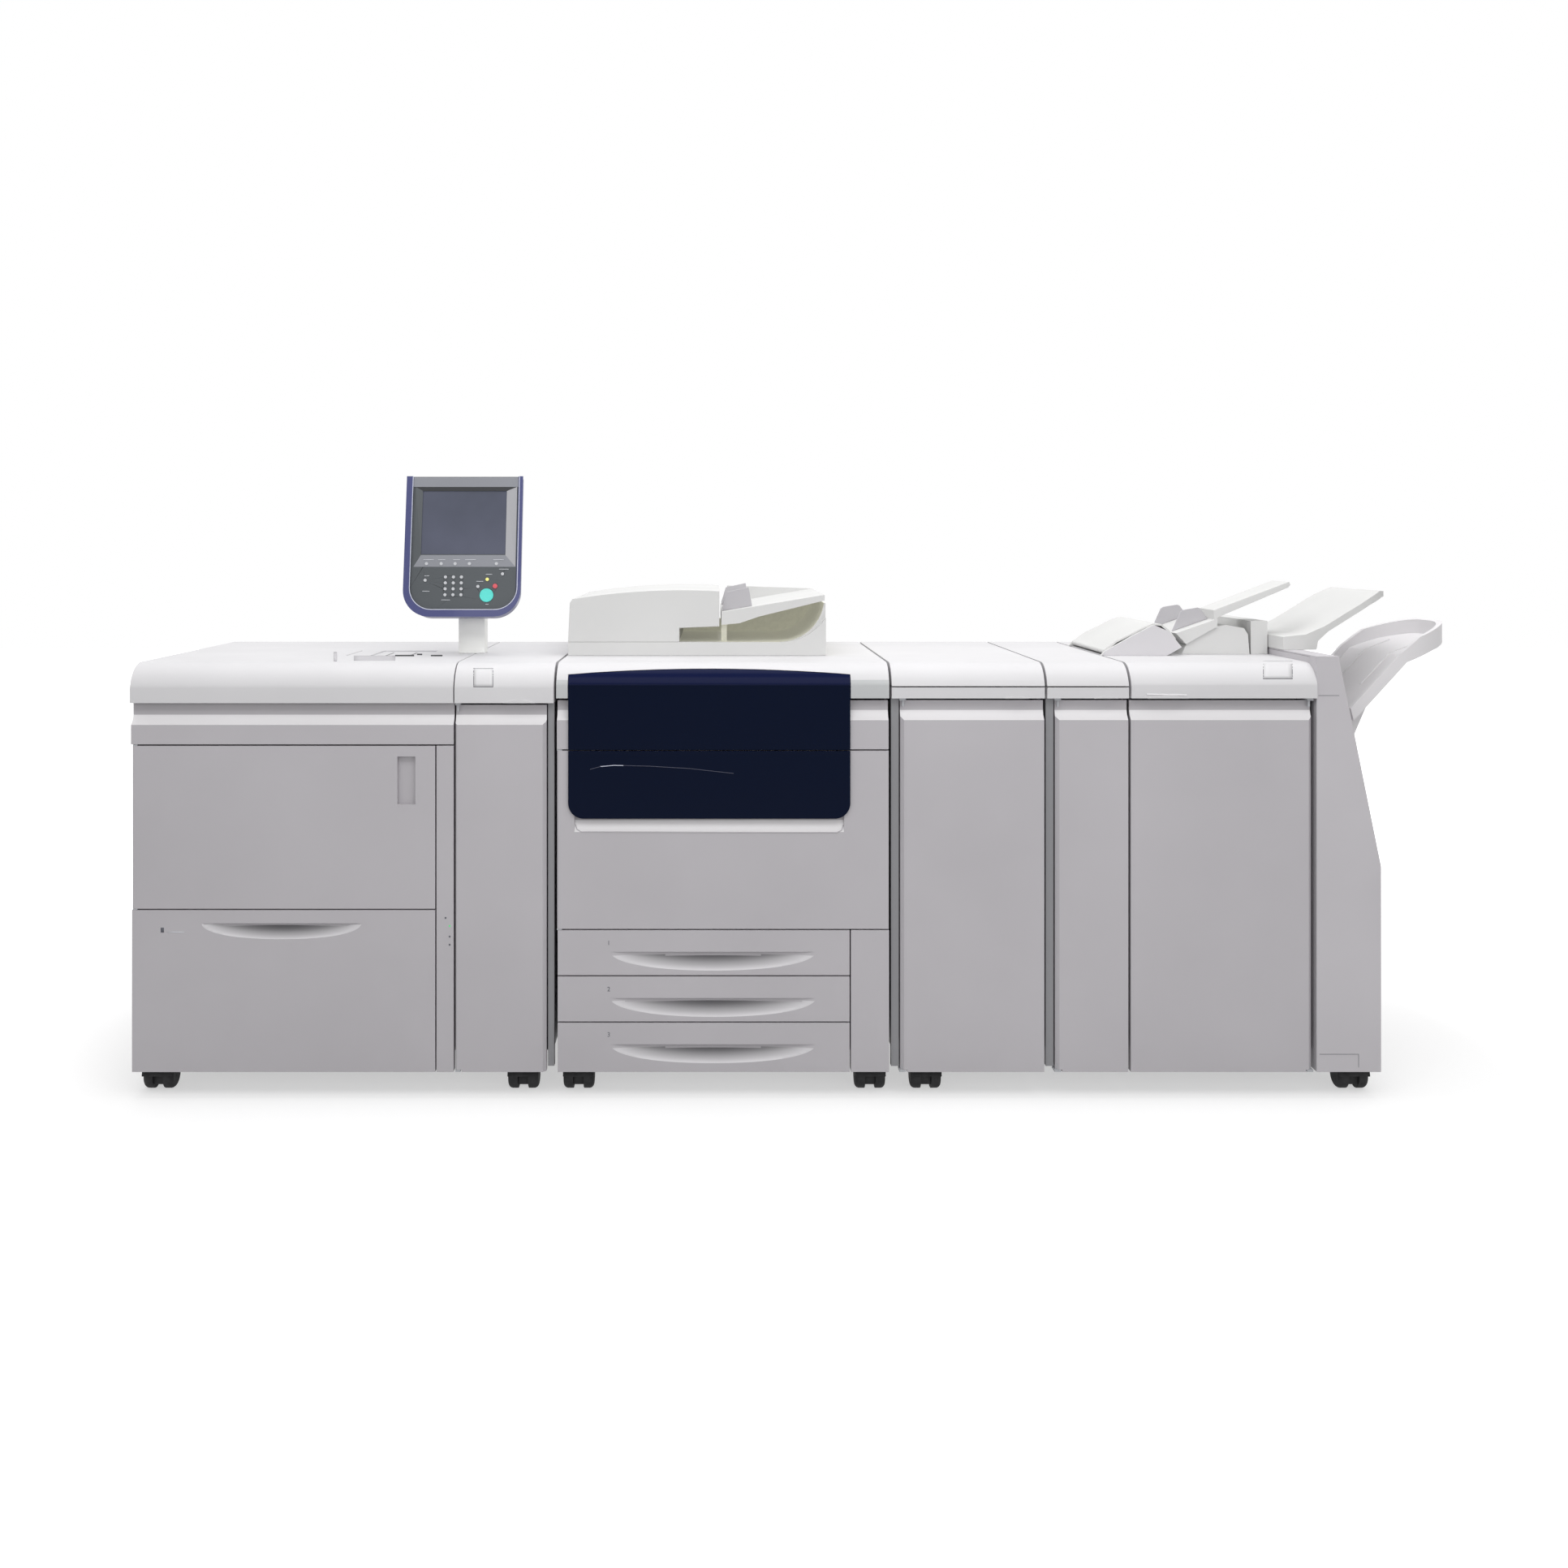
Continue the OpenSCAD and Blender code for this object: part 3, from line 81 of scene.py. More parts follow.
# Area lamps: name, place, target and size in metres, and watts
LAMPS = (
    ("key", (0.1, -2.7, 3.7), (0.1, 0, 0.7), (5.0, 1.6), 66),
    ("front", (0.4, -4.0, 2.0), (0.1, 0, 0.8), (4.0, 1.0), 22),
    ("top", (0, 0.3, 4.2), (0, 0.2, 0.8), (5.0, 2.5), 88),
)


def photo_x(px):
    """X of a pixel column, for a point in the plane of the door faces."""
    return LEFT_X + (px - MACHINE_LEFT_PX) * PIXEL_MM * MM


def photo_z(px):
    """Height of a pixel row, for a point in the plane of the door faces."""
    return (FLOOR_PX - px) * PIXEL_MM * MM


# The camera's place, where every sight line starts
EYE = Vector((photo_x(AXIS_X_PX), DOOR_Y - CAMERA_DISTANCE, photo_z(HORIZON_PX)))


def linear(rgb):
    """An 8-bit screen colour as the linear colour that shaders take, by the usual sRGB curve."""
    shares = [c / 255 for c in rgb]
    curve = [s / 12.92 if s <= 0.04045 else ((s + 0.055) / 1.055) ** 2.4 for s in shares]
    return (*curve, 1.0)


# Camera, light and floor


def add_camera():
    data = bpy.data.cameras.new("camera")
    focal_px = CAMERA_DISTANCE / (PIXEL_MM * MM)
    data.sensor_width = SENSOR_MM
    data.lens = SENSOR_MM * focal_px / PHOTO_SIZE
    data.shift_x = (PHOTO_SIZE / 2 - AXIS_X_PX) / PHOTO_SIZE
    data.shift_y = (HORIZON_PX - PHOTO_SIZE / 2) / PHOTO_SIZE
    data.clip_end = CAMERA_REACH
    camera = bpy.data.objects.new("camera", data)
    camera.location = EYE
    camera.rotation_euler = UPRIGHT
    bpy.context.scene.collection.objects.link(camera)
    bpy.context.scene.camera = camera


def add_area_light(name, place, target, size, watts):
    data = bpy.data.lights.new(name, "AREA")
    data.shape = "RECTANGLE"
    data.size, data.size_y = size
    data.energy = watts
    light = bpy.data.objects.new(name, data)
    light.location = place
    light.rotation_euler = (Vector(target) - Vector(place)).to_track_quat("-Z", "Y").to_euler()
    bpy.context.scene.collection.objects.link(light)


def seen_rays(nodes, links):
    """One for camera, mirrored and transmitted rays, zero for the rays that only light a surface."""
    path = nodes.new("ShaderNodeLightPath")
    reached = path.outputs["Is Camera Ray"]
    for kind in ("Is Glossy Ray", "Is Transmission Ray"):
        either = nodes.new("ShaderNodeMath")
        either.operation = "MAXIMUM"
        links.new(reached, either.inputs[0])
        links.new(path.outputs[kind], either.inputs[1])
        reached = either.outputs[0]
    return reached


def add_world():
    """White wherever it is seen, straight on, mirrored or through glass, and softer as light."""
    world = bpy.data.worlds.new("studio")
    world.use_nodes = True
    bpy.context.scene.world = world
    nodes, links = world.node_tree.nodes, world.node_tree.links
    nodes.clear()
    output = nodes.new("ShaderNodeOutputWorld")
    mix = nodes.new("ShaderNodeMixShader")
    links.new(seen_rays(nodes, links), mix.inputs["Fac"])
    for i, strength in ((1, AMBIENT), (2, BACKDROP)):
        background = nodes.new("ShaderNodeBackground")
        background.inputs["Color"].default_value = WHITE
        background.inputs["Strength"].default_value = strength
        links.new(background.outputs[0], mix.inputs[i])
    links.new(mix.outputs[0], output.inputs["Surface"])


def add_floor():
    """A white floor that takes the shadow near the machine and fades into the backdrop."""
    mesh = bpy.data.meshes.new("floor")
    corners = [(FLOOR_REACH * i, FLOOR_REACH * j, 0) for i, j in ((-1, -1), (1, -1), (1, 1), (-1, 1))]
    mesh.from_pydata(corners, [], [(0, 1, 2, 3)])
    floor = bpy.data.objects.new("floor", mesh)
    bpy.context.scene.collection.objects.link(floor)
    surface = Surface("floor", FLOOR_GREY, FLOOR_ROUGHNESS)
    length = surface.add("ShaderNodeVectorMath", operation="LENGTH")
    surface.link(surface.coords, length.inputs[0])
    fade = surface.ramp(length.outputs["Value"], FLOOR_GLOW, BACKDROP, *FLOOR_FADE)
    glow = surface.add("ShaderNodeMath", operation="MULTIPLY")
    surface.link(fade, glow.inputs[0])
    surface.link(seen_rays(surface.tree.nodes, surface.tree.links), glow.inputs[1])
    surface.link(glow.outputs[0], surface.shader.inputs["Emission Strength"])
    surface.set(Emission_Color=WHITE)
    floor.data.materials.append(surface.material)


# Materials

# Depths of the fine relief on each kind of surface
GRAIN_DEPTH = 0.12 * MM
PAINT_DEPTH = 0.15 * MM
POLISH_DEPTH = 0.4 * MM
RUBBER_DEPTH = 0.2 * MM
GLASS_DEPTH = 0.2 * MM
SCREEN_DEPTH = 0.05 * MM

# Moulded plastics: colour, roughness, size of the grain in millimetres and its strength
PLASTICS = {
    "cover_white": ((212, 211, 213), 0.55, 1.2, 0.18),
    "cover_grey": ((186, 183, 187), 0.5, 1.2, 0.18),
    # Painted shade of the channels beside the doors
    "cover_shade": ((138, 138, 141), 0.5, 1.2, 0.18),
    # Painted shade on the forward faces of the engine band
    "band_front_shade": ((188, 190, 191), 0.5, 1.2, 0.18),
    # Painted highlight on upturned lips and along the finisher's latch
    "lip_highlight": ((236, 234, 236), 0.5, 1.2, 0.18),
    "end_grey": ((194, 191, 195), 0.5, 1.2, 0.18),
    "plate_grey": ((210, 208, 211), 0.5, 1.2, 0.18),
    "post_white": ((252, 253, 248), 0.5, 1.2, 0.18),
    "stacker_grey": ((226, 224, 226), 0.5, 1.2, 0.18),
    "adf_white": ((213, 213, 212), 0.55, 1.0, 0.18),
    "tray_grey": ((184, 182, 186), 0.5, 1.2, 0.18),
    "consumable_black": ((52, 54, 58), 0.5, 1.2, 0.18),
    "bezel_dark": ((70, 75, 79), 0.45, 0.9, 0.18),
    # Painted light and shade of the screen frame: lit tones for its lower and right sides and the strip
    # above it, and a black for its upper side that also stands for the shade in the bypass slots
    "bezel_lit": ((136, 138, 145), 0.45, 0.9, 0.18),
    "bezel_brightly_lit": ((168, 168, 172), 0.45, 0.9, 0.18),
    "painted_shadow_black": ((36, 38, 42), 0.4, 0.9, 0.18),
    "key_grey": ((196, 198, 202), 0.4, 0.7, 0.1),
    "mark_ink": ((88, 90, 98), 0.6, 0.6, 0.05),
    "mark_light": ((206, 208, 214), 0.5, 0.6, 0.05),
}

# Painted or bare sheet steel: colour and roughness
STEELS = {
    "frame_steel": ((176, 178, 182), 0.45),
    "rear_metal": ((186, 186, 188), 0.45),
    "tray_steel": ((178, 181, 184), 0.35),
}

# Blue gloss plastics of the operator panel and of the front door's ridge: colour
GLOSSES = {"panel_blue": (50, 56, 112), "ridge_navy": (34, 38, 66)}

# Lamps, backlit keys, and the output well, whose glow is painted light: colour and glow
LIT = {
    "well_beige_painted_glow": ((236, 235, 220), 0.12),
    "start_teal": ((80, 200, 190), 0.25),
    "stop_red": ((200, 80, 90), 0.15),
    "lamp_yellow": ((225, 220, 130), 0.3),
    "lamp_green": ((90, 190, 120), 0.5),
}

# Depths behind the door faces between which the painted shade of the hand scoops deepens
SCOOP_FADE = (2 * MM, 18 * MM)


class Surface:
    """A procedural material: a principled shader with helpers for its colour, roughness and relief."""

    def __init__(self, name, rgb, roughness):
        self.material = bpy.data.materials.new(name)
        self.material.use_nodes = True
        self.tree = self.material.node_tree
        self.shader = self.tree.nodes["Principled BSDF"]
        self.shader.inputs["Base Color"].default_value = linear(rgb)
        self.shader.inputs["Roughness"].default_value = roughness
        self.coords = self.add("ShaderNodeTexCoord").outputs["Object"]
        self.bumps = None

    def add(self, kind, **settings):
        node = self.tree.nodes.new(kind)
        for key, value in settings.items():
            setattr(node, key, value)
        return node

    def link(self, out, into):
        self.tree.links.new(out, into)

    def noise(self, scale, detail):
        noise = self.add("ShaderNodeTexNoise")
        noise.inputs["Scale"].default_value = scale
        noise.inputs["Detail"].default_value = detail
        self.link(self.coords, noise.inputs["Vector"])
        return noise.outputs["Fac"]

    def ramp(self, fac, low, high, start=0.3, end=0.7):
        span = self.add("ShaderNodeMapRange")
        span.inputs["From Min"].default_value = start
        span.inputs["From Max"].default_value = end
        span.inputs["To Min"].default_value = low
        span.inputs["To Max"].default_value = high
        self.link(fac, span.inputs["Value"])
        return span.outputs[0]

    def along(self, vector, axis, start, end):
        """Runs from 0 to 1 as one coordinate of a vector goes from start to end."""
        split = self.add("ShaderNodeSeparateXYZ")
        self.link(vector, split.inputs[0])
        return self.ramp(split.outputs[axis], 0, 1, start, end)

    def blend(self, fac, first, second):
        """Base colour between two shades."""
        mix = self.add("ShaderNodeMix", data_type="RGBA")
        mix.inputs["A"].default_value = linear(first)
        mix.inputs["B"].default_value = linear(second)
        self.link(fac, mix.inputs["Factor"])
        self.link(mix.outputs["Result"], self.shader.inputs["Base Color"])

    def mottle(self, dark, light, scale=2.5):
        """Colour that drifts a little between two shades."""
        self.blend(self.ramp(self.noise(scale, detail=3.0), 0, 1), dark, light)

    def vary_roughness(self, low, high, scale=9):
        self.link(self.ramp(self.noise(scale, detail=4.0), low, high), self.shader.inputs["Roughness"])

    def relief(self, scale, detail, strength, depth):
        """Adds a fine bump on top of the ones before it."""
        bump = self.add("ShaderNodeBump")
        bump.inputs["Strength"].default_value = strength
        bump.inputs["Distance"].default_value = depth
        self.link(self.noise(scale, detail), bump.inputs["Height"])
        if self.bumps is not None:
            self.link(self.bumps, bump.inputs["Normal"])
        self.bumps = bump.outputs[0]
        self.link(self.bumps, self.shader.inputs["Normal"])

    def grain(self, size_mm, strength):
        """Fine spark-eroded texture of moulded plastic."""
        self.relief(1 / (size_mm * MM), 1.0, strength, GRAIN_DEPTH)

    def set(self, **values):
        for key, value in values.items():
            self.shader.inputs[key.replace("_", " ")].default_value = value


def shade(rgb, by):
    return [max(0, min(255, c + by)) for c in rgb]


def moulded(name, rgb, roughness, grain_mm, grain):
    surface = Surface(name, rgb, roughness)
    surface.mottle(shade(rgb, -3), shade(rgb, 3))
    surface.vary_roughness(roughness - 0.06, roughness + 0.06)
    surface.grain(grain_mm, grain)
    return surface.material


def painted_steel(name, rgb, roughness):
    surface = Surface(name, rgb, roughness)
    surface.mottle(shade(rgb, -6), shade(rgb, 6), scale=5)
    surface.vary_roughness(roughness - 0.08, roughness + 0.08)
    surface.relief(scale=420, detail=2.0, strength=0.22, depth=PAINT_DEPTH)
    return surface.material


def glossy(name, rgb):
    surface = Surface(name, rgb, 0.3)
    surface.mottle(shade(rgb, -2), shade(rgb, 3), scale=4)
    surface.vary_roughness(0.3, 0.35, scale=30)
    surface.relief(scale=14, detail=1.0, strength=0.05, depth=POLISH_DEPTH)
    surface.set(Coat_Weight=0.3, Coat_Roughness=0.05)
    return surface.material


def rubber(name, rgb):
    surface = Surface(name, rgb, 0.75)
    surface.mottle(shade(rgb, -3), shade(rgb, 7), scale=30)
    surface.vary_roughness(0.65, 0.83, scale=60)
    surface.relief(scale=900, detail=3.0, strength=0.3, depth=RUBBER_DEPTH)
    return surface.material


def lit(name, rgb, glow):
    """A small lamp, a backlit key, or the output well's inside with a painted glow."""
    surface = Surface(name, rgb, 0.35)
    surface.mottle(shade(rgb, -5), shade(rgb, 5), scale=80)
    surface.set(Emission_Color=linear(rgb), Emission_Strength=glow)
    return surface.material


# Silver of the panel's trim, also used for the painted glint on the front door's panel
def silver():
    surface = Surface("silver_trim_and_glint", (205, 208, 225), 0.3)
    surface.grain(0.8, 0.08)
    return surface.material


def glass():
    surface = Surface("platen_glass", (236, 243, 242), 0.04)
    surface.relief(scale=6, detail=1.0, strength=0.02, depth=GLASS_DEPTH)
    surface.set(Transmission_Weight=0.9, IOR=1.5)
    return surface.material


def screen():
    """Screen that is off, with a slight sheen."""
    surface = Surface("screen", (93, 97, 112), 0.16)
    surface.mottle((66, 71, 88), (80, 84, 104), scale=6)
    surface.relief(scale=1400, detail=1.0, strength=0.06, depth=SCREEN_DEPTH)
    surface.set(Coat_Weight=0.15, Coat_Roughness=0.08)
    return surface.material


def scoop():
    """Painted shade of the hand scoops: grey that darkens the deeper they go."""
    surface = Surface("scoop_shade", (208, 206, 209), 0.5)
    near, far = (DOOR_Y + depth for depth in SCOOP_FADE)
    surface.blend(surface.along(surface.coords, "Y", near, far), (212, 210, 213), (92, 91, 94))
    surface.vary_roughness(0.44, 0.56)
    surface.grain(1.2, 0.18)
    return surface.material


def navy():
    """Deep blue gloss with painted light: bluer where faces turn up as the panel curves back over the
    cabinet's edge.
    """
    surface = Surface("navy_gloss", (11, 18, 33), 0.16)
    normal = surface.add("ShaderNodeNewGeometry").outputs["Normal"]
    surface.blend(surface.along(normal, "Z", 0.02, 0.4), (5, 15, 38), (14, 22, 58))
    surface.vary_roughness(0.14, 0.2, scale=30)
    surface.relief(scale=14, detail=1.0, strength=0.05, depth=POLISH_DEPTH)
    surface.set(Specular_IOR_Level=0.05)
    return surface.material


def make_materials():
    return {
        **{name: moulded(name, *facts) for name, facts in PLASTICS.items()},
        **{name: painted_steel(name, *facts) for name, facts in STEELS.items()},
        **{name: glossy(name, rgb) for name, rgb in GLOSSES.items()},
        **{name: lit(name, *facts) for name, facts in LIT.items()},
        "caster_black": rubber("caster_black", (30, 30, 32)),
        "navy_gloss": navy(),
        "platen_glass": glass(),
        "scoop_shade": scoop(),
        "screen_glass": screen(),
        "silver_trim_and_glint": silver(),
    }


# Dress of the CAD nodes

# Width of the worn edges, in general and on fine pieces
EDGE_WIDTH = 1.0 * MM
EDGE_WIDTHS = {
    "number_keys": 0.5 * MM,
    "function_keys": 0.5 * MM,
    "ui_screen": 0.2 * MM,
    "platen_glass": 0.3 * MM,
}
EDGE_TURN = math.radians(35)
WELD_REACH = 0.02 * MM

# Nodes of one other tone all over
TONES = {"finisher_end_cover": "end_grey", "stacker_tray": "stacker_grey", "ui_post": "post_white"}

# Nodes whose faces that turn up to a lip take a painted highlight, and the share of the normal from which a
# face counts as one
LIPPED = (
    "storage_door", "feeder_fascia", "transport_door", "toner_door", "front_door",
    "interface_door", "folder_door", "finisher_door",
)
LIP_RISE = 0.25

# Nodes with a hand scoop, how deep it goes, and the turn of the faces beside it
SCOOPED = ("feeder_drawer", "tray_1", "tray_2", "tray_3")
SCOOP_DEPTH = 20 * MM
SCOOP_TURN = -0.98

# Turn of the engine band's front, whose faces take painted shade, set-back of the channels beside the
# doors, and depth of the inserter's front face
BAND_TURN = -0.9
CHANNEL_SETBACK = 5 * MM
FRONT_DEPTH = 1 * MM

# Output well with a painted glow: behind and to the right of the feed cover's corner, on faces seen from
# the front
WELL_SETBACK = 20 * MM
WELL_X = 250 * MM
WELL_TURN = 0.5


def soften(obj, width):
    """Rounds the edges a little, as on any moulded or folded part."""
    weld = obj.modifiers.new("weld", "WELD")
    weld.merge_threshold = WELD_REACH
    bevel = obj.modifiers.new("bevel", "BEVEL")
    bevel.width = width
    bevel.segments = 2
    bevel.limit_method = "ANGLE"
    bevel.angle_limit = EDGE_TURN
    bevel.use_clamp_overlap = True
    normals = obj.modifiers.new("normals", "WEIGHTED_NORMAL")
    normals.weight = 90
    normals.keep_sharp = True


def tint(node, material, chosen):
    """Another material on the chosen faces of a node."""
    data = NODES[node].data
    data.materials.append(MATERIALS[material])
    for polygon in data.polygons:
        if chosen(polygon):
            polygon.material_index = len(data.materials) - 1


def in_scoop(polygon):
    near = polygon.center.y < DOOR_Y + SCOOP_DEPTH
    return near and SCOOP_TURN < polygon.normal.y < 0 < polygon.normal.z


def opens_forward(polygon):
    return polygon.normal.z > -WELL_TURN and polygon.normal.y < WELL_TURN


def tint_channels():
    """Painted shade: darker strips where the channels beside the doors lie in shade."""
    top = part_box("folder_door")[1].z
    front = DOOR_Y + CHANNEL_SETBACK
    for node in ("interface_top_cover", "folder_top_cover"):
        tint(node, "cover_shade", lambda p: p.center.z < top and p.center.y > front)
    door_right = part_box("transport_door")[1].x
    tint("feeder_fascia", "cover_shade", lambda p: p.center.x > door_right)


def tint_inserter_front():
    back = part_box("inserter_body")[0].y + FRONT_DEPTH
    tint("inserter_body", "plate_grey", lambda p: p.center.y < back)


def tint_well():
    """The beige inside of the document feeder's output well, which takes a painted glow."""
    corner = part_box("adf_feed_cover")[0]
    front, left = corner.y + WELL_SETBACK, corner.x + WELL_X
    tint("adf_base", "well_beige_painted_glow", lambda p: p.center.y > front and p.center.x > left and opens_forward(p))


def dress_nodes():
    """Gives every CAD node the material of its slot, soft worn edges, and its other tones, some of them
    painted light and shade.
    """
    for part in frame["record"]["subparts"]:
        obj = NODES[part["node"]]
        obj.data.materials.clear()
        obj.data.materials.append(MATERIALS[part["material_slot"]])
        for polygon in obj.data.polygons:
            polygon.use_smooth = True
            polygon.material_index = 0
        soften(obj, EDGE_WIDTHS.get(part["node"], EDGE_WIDTH))
    tint_channels()
    tint_inserter_front()
    # Painted highlight where the doors' lips turn up
    for node in LIPPED:
        tint(node, "lip_highlight", lambda p: p.normal.z > LIP_RISE and p.normal.y < 0)
    # Painted shade inside the hand scoops
    for node in SCOOPED:
        tint(node, "scoop_shade", in_scoop)
    # Painted shade on the forward faces of the engine band
    tint("engine_top_cover", "band_front_shade", lambda p: p.normal.y < BAND_TURN)
    for node, material in TONES.items():
        tint(node, material, lambda p: True)
    tint_well()


# Small pieces laid on the machine's surfaces

# A bead's radius and steps along each stretch, and how far it stands off, as a share of its radius
SEAM_RADIUS = 0.5 * MM
SEAM_STEPS = 8
SEAM_SHARE = 0.3

# A round button: shares of its radius and height at each ring, and its sides
DISC_SHARES = ((1.0, 0.0), (1.0, 0.55), (0.86, 0.9), (0.5, 1.0))
DISC_SIDES = 24

FIGURE_SIZE = 15 * MM
FIGURE_DEPTH = 0.15 * MM
FIGURE_LIFT = 0.1 * MM


@functools.cache
def surface_tree(node):
    data = NODES[node].data
    return BVHTree.FromPolygons([v.co for v in data.vertices], [p.vertices for p in data.polygons])


def sight(node, px, py):
    """Where the sight line through a photo pixel meets a CAD node, and the normal there."""
    aim = Vector((photo_x(px), DOOR_Y, photo_z(py)))
    place, normal, _, _ = surface_tree(node).ray_cast(EYE, aim - EYE)
    if place is None:
        raise ValueError(f"no surface of {node} at {px}, {py}")
    return place, normal


def add_piece(name, body, material, data, place=(0, 0, 0), turn=(0, 0, 0)):
    obj = bpy.data.objects.new(name, data)
    obj.location = place
    obj.rotation_euler = turn
    bpy.context.scene.collection.objects.link(obj)
    data.materials.append(MATERIALS[material])
    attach(obj, body)
    return obj


def thicken(obj, thickness, offset=-1):
    """Gives a sheet its thickness, inward from its face unless another offset is named."""
    solid = obj.modifiers.new("thickness", "SOLIDIFY")
    solid.thickness = thickness
    solid.offset = offset


def add_patch(name, body, node, box_px, material, thickness, steps=6):
    """A thin plate that follows a node's surface inside a rectangle of the photograph."""
    x0, y0, x1, y1 = box_px
    span = [i / steps for i in range(steps + 1)]
    hits = [sight(node, x0 + (x1 - x0) * across, y0 + (y1 - y0) * down) for down in span for across in span]
    row = steps + 1
    faces = [
        (j * row + i, (j + 1) * row + i, (j + 1) * row + i + 1, j * row + i + 1)
        for j in range(steps)
        for i in range(steps)
    ]
    mesh = bpy.data.meshes.new(name)
    mesh.from_pydata([place + normal * thickness for place, normal in hits], [], faces)
    mesh.shade_smooth()
    thicken(add_piece(name, body, material, mesh), thickness)


def add_line(name, body, material, points, radius):
    """A round bead along points."""
    curve = bpy.data.curves.new(name, "CURVE")
    curve.dimensions = "3D"
    curve.bevel_depth = radius
    curve.bevel_resolution = 2
    spline = curve.splines.new("POLY")
    spline.points.add(len(points) - 1)
    for target, point in zip(spline.points, points):
        target.co = (*point, 1)
    add_piece(name, body, material, curve)


def add_seam(name, body, node, pixels, material="mark_ink", radius=SEAM_RADIUS):
    """A bead laid on a node's surface along pixels of the photograph."""
    stops = [
        (ax + (bx - ax) * i / SEAM_STEPS, ay + (by - ay) * i / SEAM_STEPS)
        for (ax, ay), (bx, by) in zip(pixels, pixels[1:])
        for i in range(SEAM_STEPS)
    ]
    hits = [sight(node, px, py) for px, py in (*stops, pixels[-1])]
    add_line(name, body, material, [place + normal * radius * SEAM_SHARE for place, normal in hits], radius)


def add_disc(name, body, material, place, normal, radius, height):
    """A low round button with a crowned top."""
    turn = normal.to_track_quat("Z", "Y")
    angles = [2 * math.pi * k / DISC_SIDES for k in range(DISC_SIDES)]
    points = [
        place + turn @ Vector((radius * wide * math.cos(a), radius * wide * math.sin(a), height * high))
        for wide, high in DISC_SHARES
        for a in angles
    ]
    rings = [[r * DISC_SIDES + k for k in range(DISC_SIDES)] for r in range(len(DISC_SHARES))]
    faces = [
        (low[k - 1], low[k], high[k], high[k - 1])
        for low, high in zip(rings, rings[1:])
        for k in range(DISC_SIDES)
    ]
    mesh = bpy.data.meshes.new(name)
    mesh.from_pydata(points, [], [*faces, rings[-1]])
    mesh.shade_smooth()
    add_piece(name, body, material, mesh)


def add_figure(name, body, node, text, px, py):
    """A printed figure on an upright surface."""
    place, normal = sight(node, px, py)
    curve = bpy.data.curves.new(name, "FONT")
    curve.body = text
    curve.size = FIGURE_SIZE
    curve.extrude = FIGURE_DEPTH
    curve.align_x = "CENTER"
    curve.align_y = "CENTER"
    add_piece(name, body, "mark_ink", curve, place + normal * FIGURE_LIFT, UPRIGHT)


# Marks, plates and joint lines of the cabinets, placed by pixels of the photograph

TRAY_FIGURE_X = 750
TRAY_FIGURE_Y = (1162, 1219, 1275)

DRAWER_MARK = (198, 1143, 202, 1149)
DRAWER_LINE = (206, 1148, 227, 1149.2)
MARK_THICKNESS = 0.2 * MM
MARK_STEPS = 2

# Lamps of the feeder's column, of which the second is green
COLUMN_LAMPS = ((549, 1131), (554, 1141), (554, 1154), (554, 1164))
GREEN_LAMP = 1
LAMP_RADIUS = 2.2 * MM
LAMP_HEIGHT = 1.0 * MM

# Bare plates on the top covers, each with a thin dark joint around it
PLATES = {"transport": (584, 824, 607, 846), "finisher": (1557, 815, 1592, 836)}
PLATE_THICKNESS = 0.8 * MM
JOINT_THICKNESS = 0.15 * MM
JOINT_PX = 0.7

END_SEAM = ((1622, 857), (1650, 857))
END_FLAP = ((1619, 1299), (1674, 1299), (1674, 1315))

# The bypass recess: three slots as dark beads of painted shade, a lever and the recess's floor
SLOTS = (((487, 808.5), (510, 808.5)), ((514, 807), (520, 807)), ((531, 808.5), (545, 808.5)))
SLOT_RADIUS = 2.6 * MM
BYPASS_LEVER = (411.5, 804, 415, 815)
LEVER_THICKNESS = 2 * MM
LEVER_STEPS = 3
BYPASS_RECESS = (436, 808, 487, 814)
RECESS_THICKNESS = 0.5 * MM

# Fine lines of the front door, with a painted glint on its panel, and a painted glint along the finisher's
# latch
RIDGE = ((727, 948), (740, 944.5), (757, 943), (800, 944), (850, 947), (904, 953))
RIDGE_RADIUS = 0.7 * MM
GLINT = ((740, 944.5), (757, 943), (768, 943.3))
GLINT_RADIUS = 0.8 * MM
LATCH_GLINT = ((1413, 855.5), (1462, 856.5))
LATCH_RADIUS = 1.6 * MM
POCKET_LIP = ((709, 1016), (711, 1022), (716, 1025), (1031, 1026), (1037, 1023), (1039, 1017))
LIP_RADIUS = 1.2 * MM


def add_drawer_marks():
    for i, py in enumerate(TRAY_FIGURE_Y):
        tray = f"tray_{i + 1}"
        add_figure(f"{tray}_figure", tray, tray, str(i + 1), TRAY_FIGURE_X, py)
    drawer = "feeder_drawer"
    add_patch("drawer_mark", drawer, drawer, DRAWER_MARK, "mark_ink", MARK_THICKNESS, MARK_STEPS)
    add_patch("drawer_line", drawer, drawer, DRAWER_LINE, "mark_light", MARK_THICKNESS, MARK_STEPS)


def add_column_lamps():
    for i, (px, py) in enumerate(COLUMN_LAMPS):
        place, normal = sight("feeder_fascia", px, py)
        material = "lamp_green" if i == GREEN_LAMP else "mark_ink"
        add_disc(f"column_lamp_{i + 1}", "machine", material, place, normal, LAMP_RADIUS, LAMP_HEIGHT)


def add_plates():
    for section, (x0, y0, x1, y1) in PLATES.items():
        cover, plate = f"{section}_top_cover", f"{section}_plate"
        around = (x0 - JOINT_PX, y0 - JOINT_PX, x1 + JOINT_PX, y1 + JOINT_PX)
        add_patch(f"{plate}_joint", "machine", cover, around, "mark_ink", JOINT_THICKNESS)
        add_patch(plate, "machine", cover, (x0, y0, x1, y1), "cover_white", PLATE_THICKNESS)


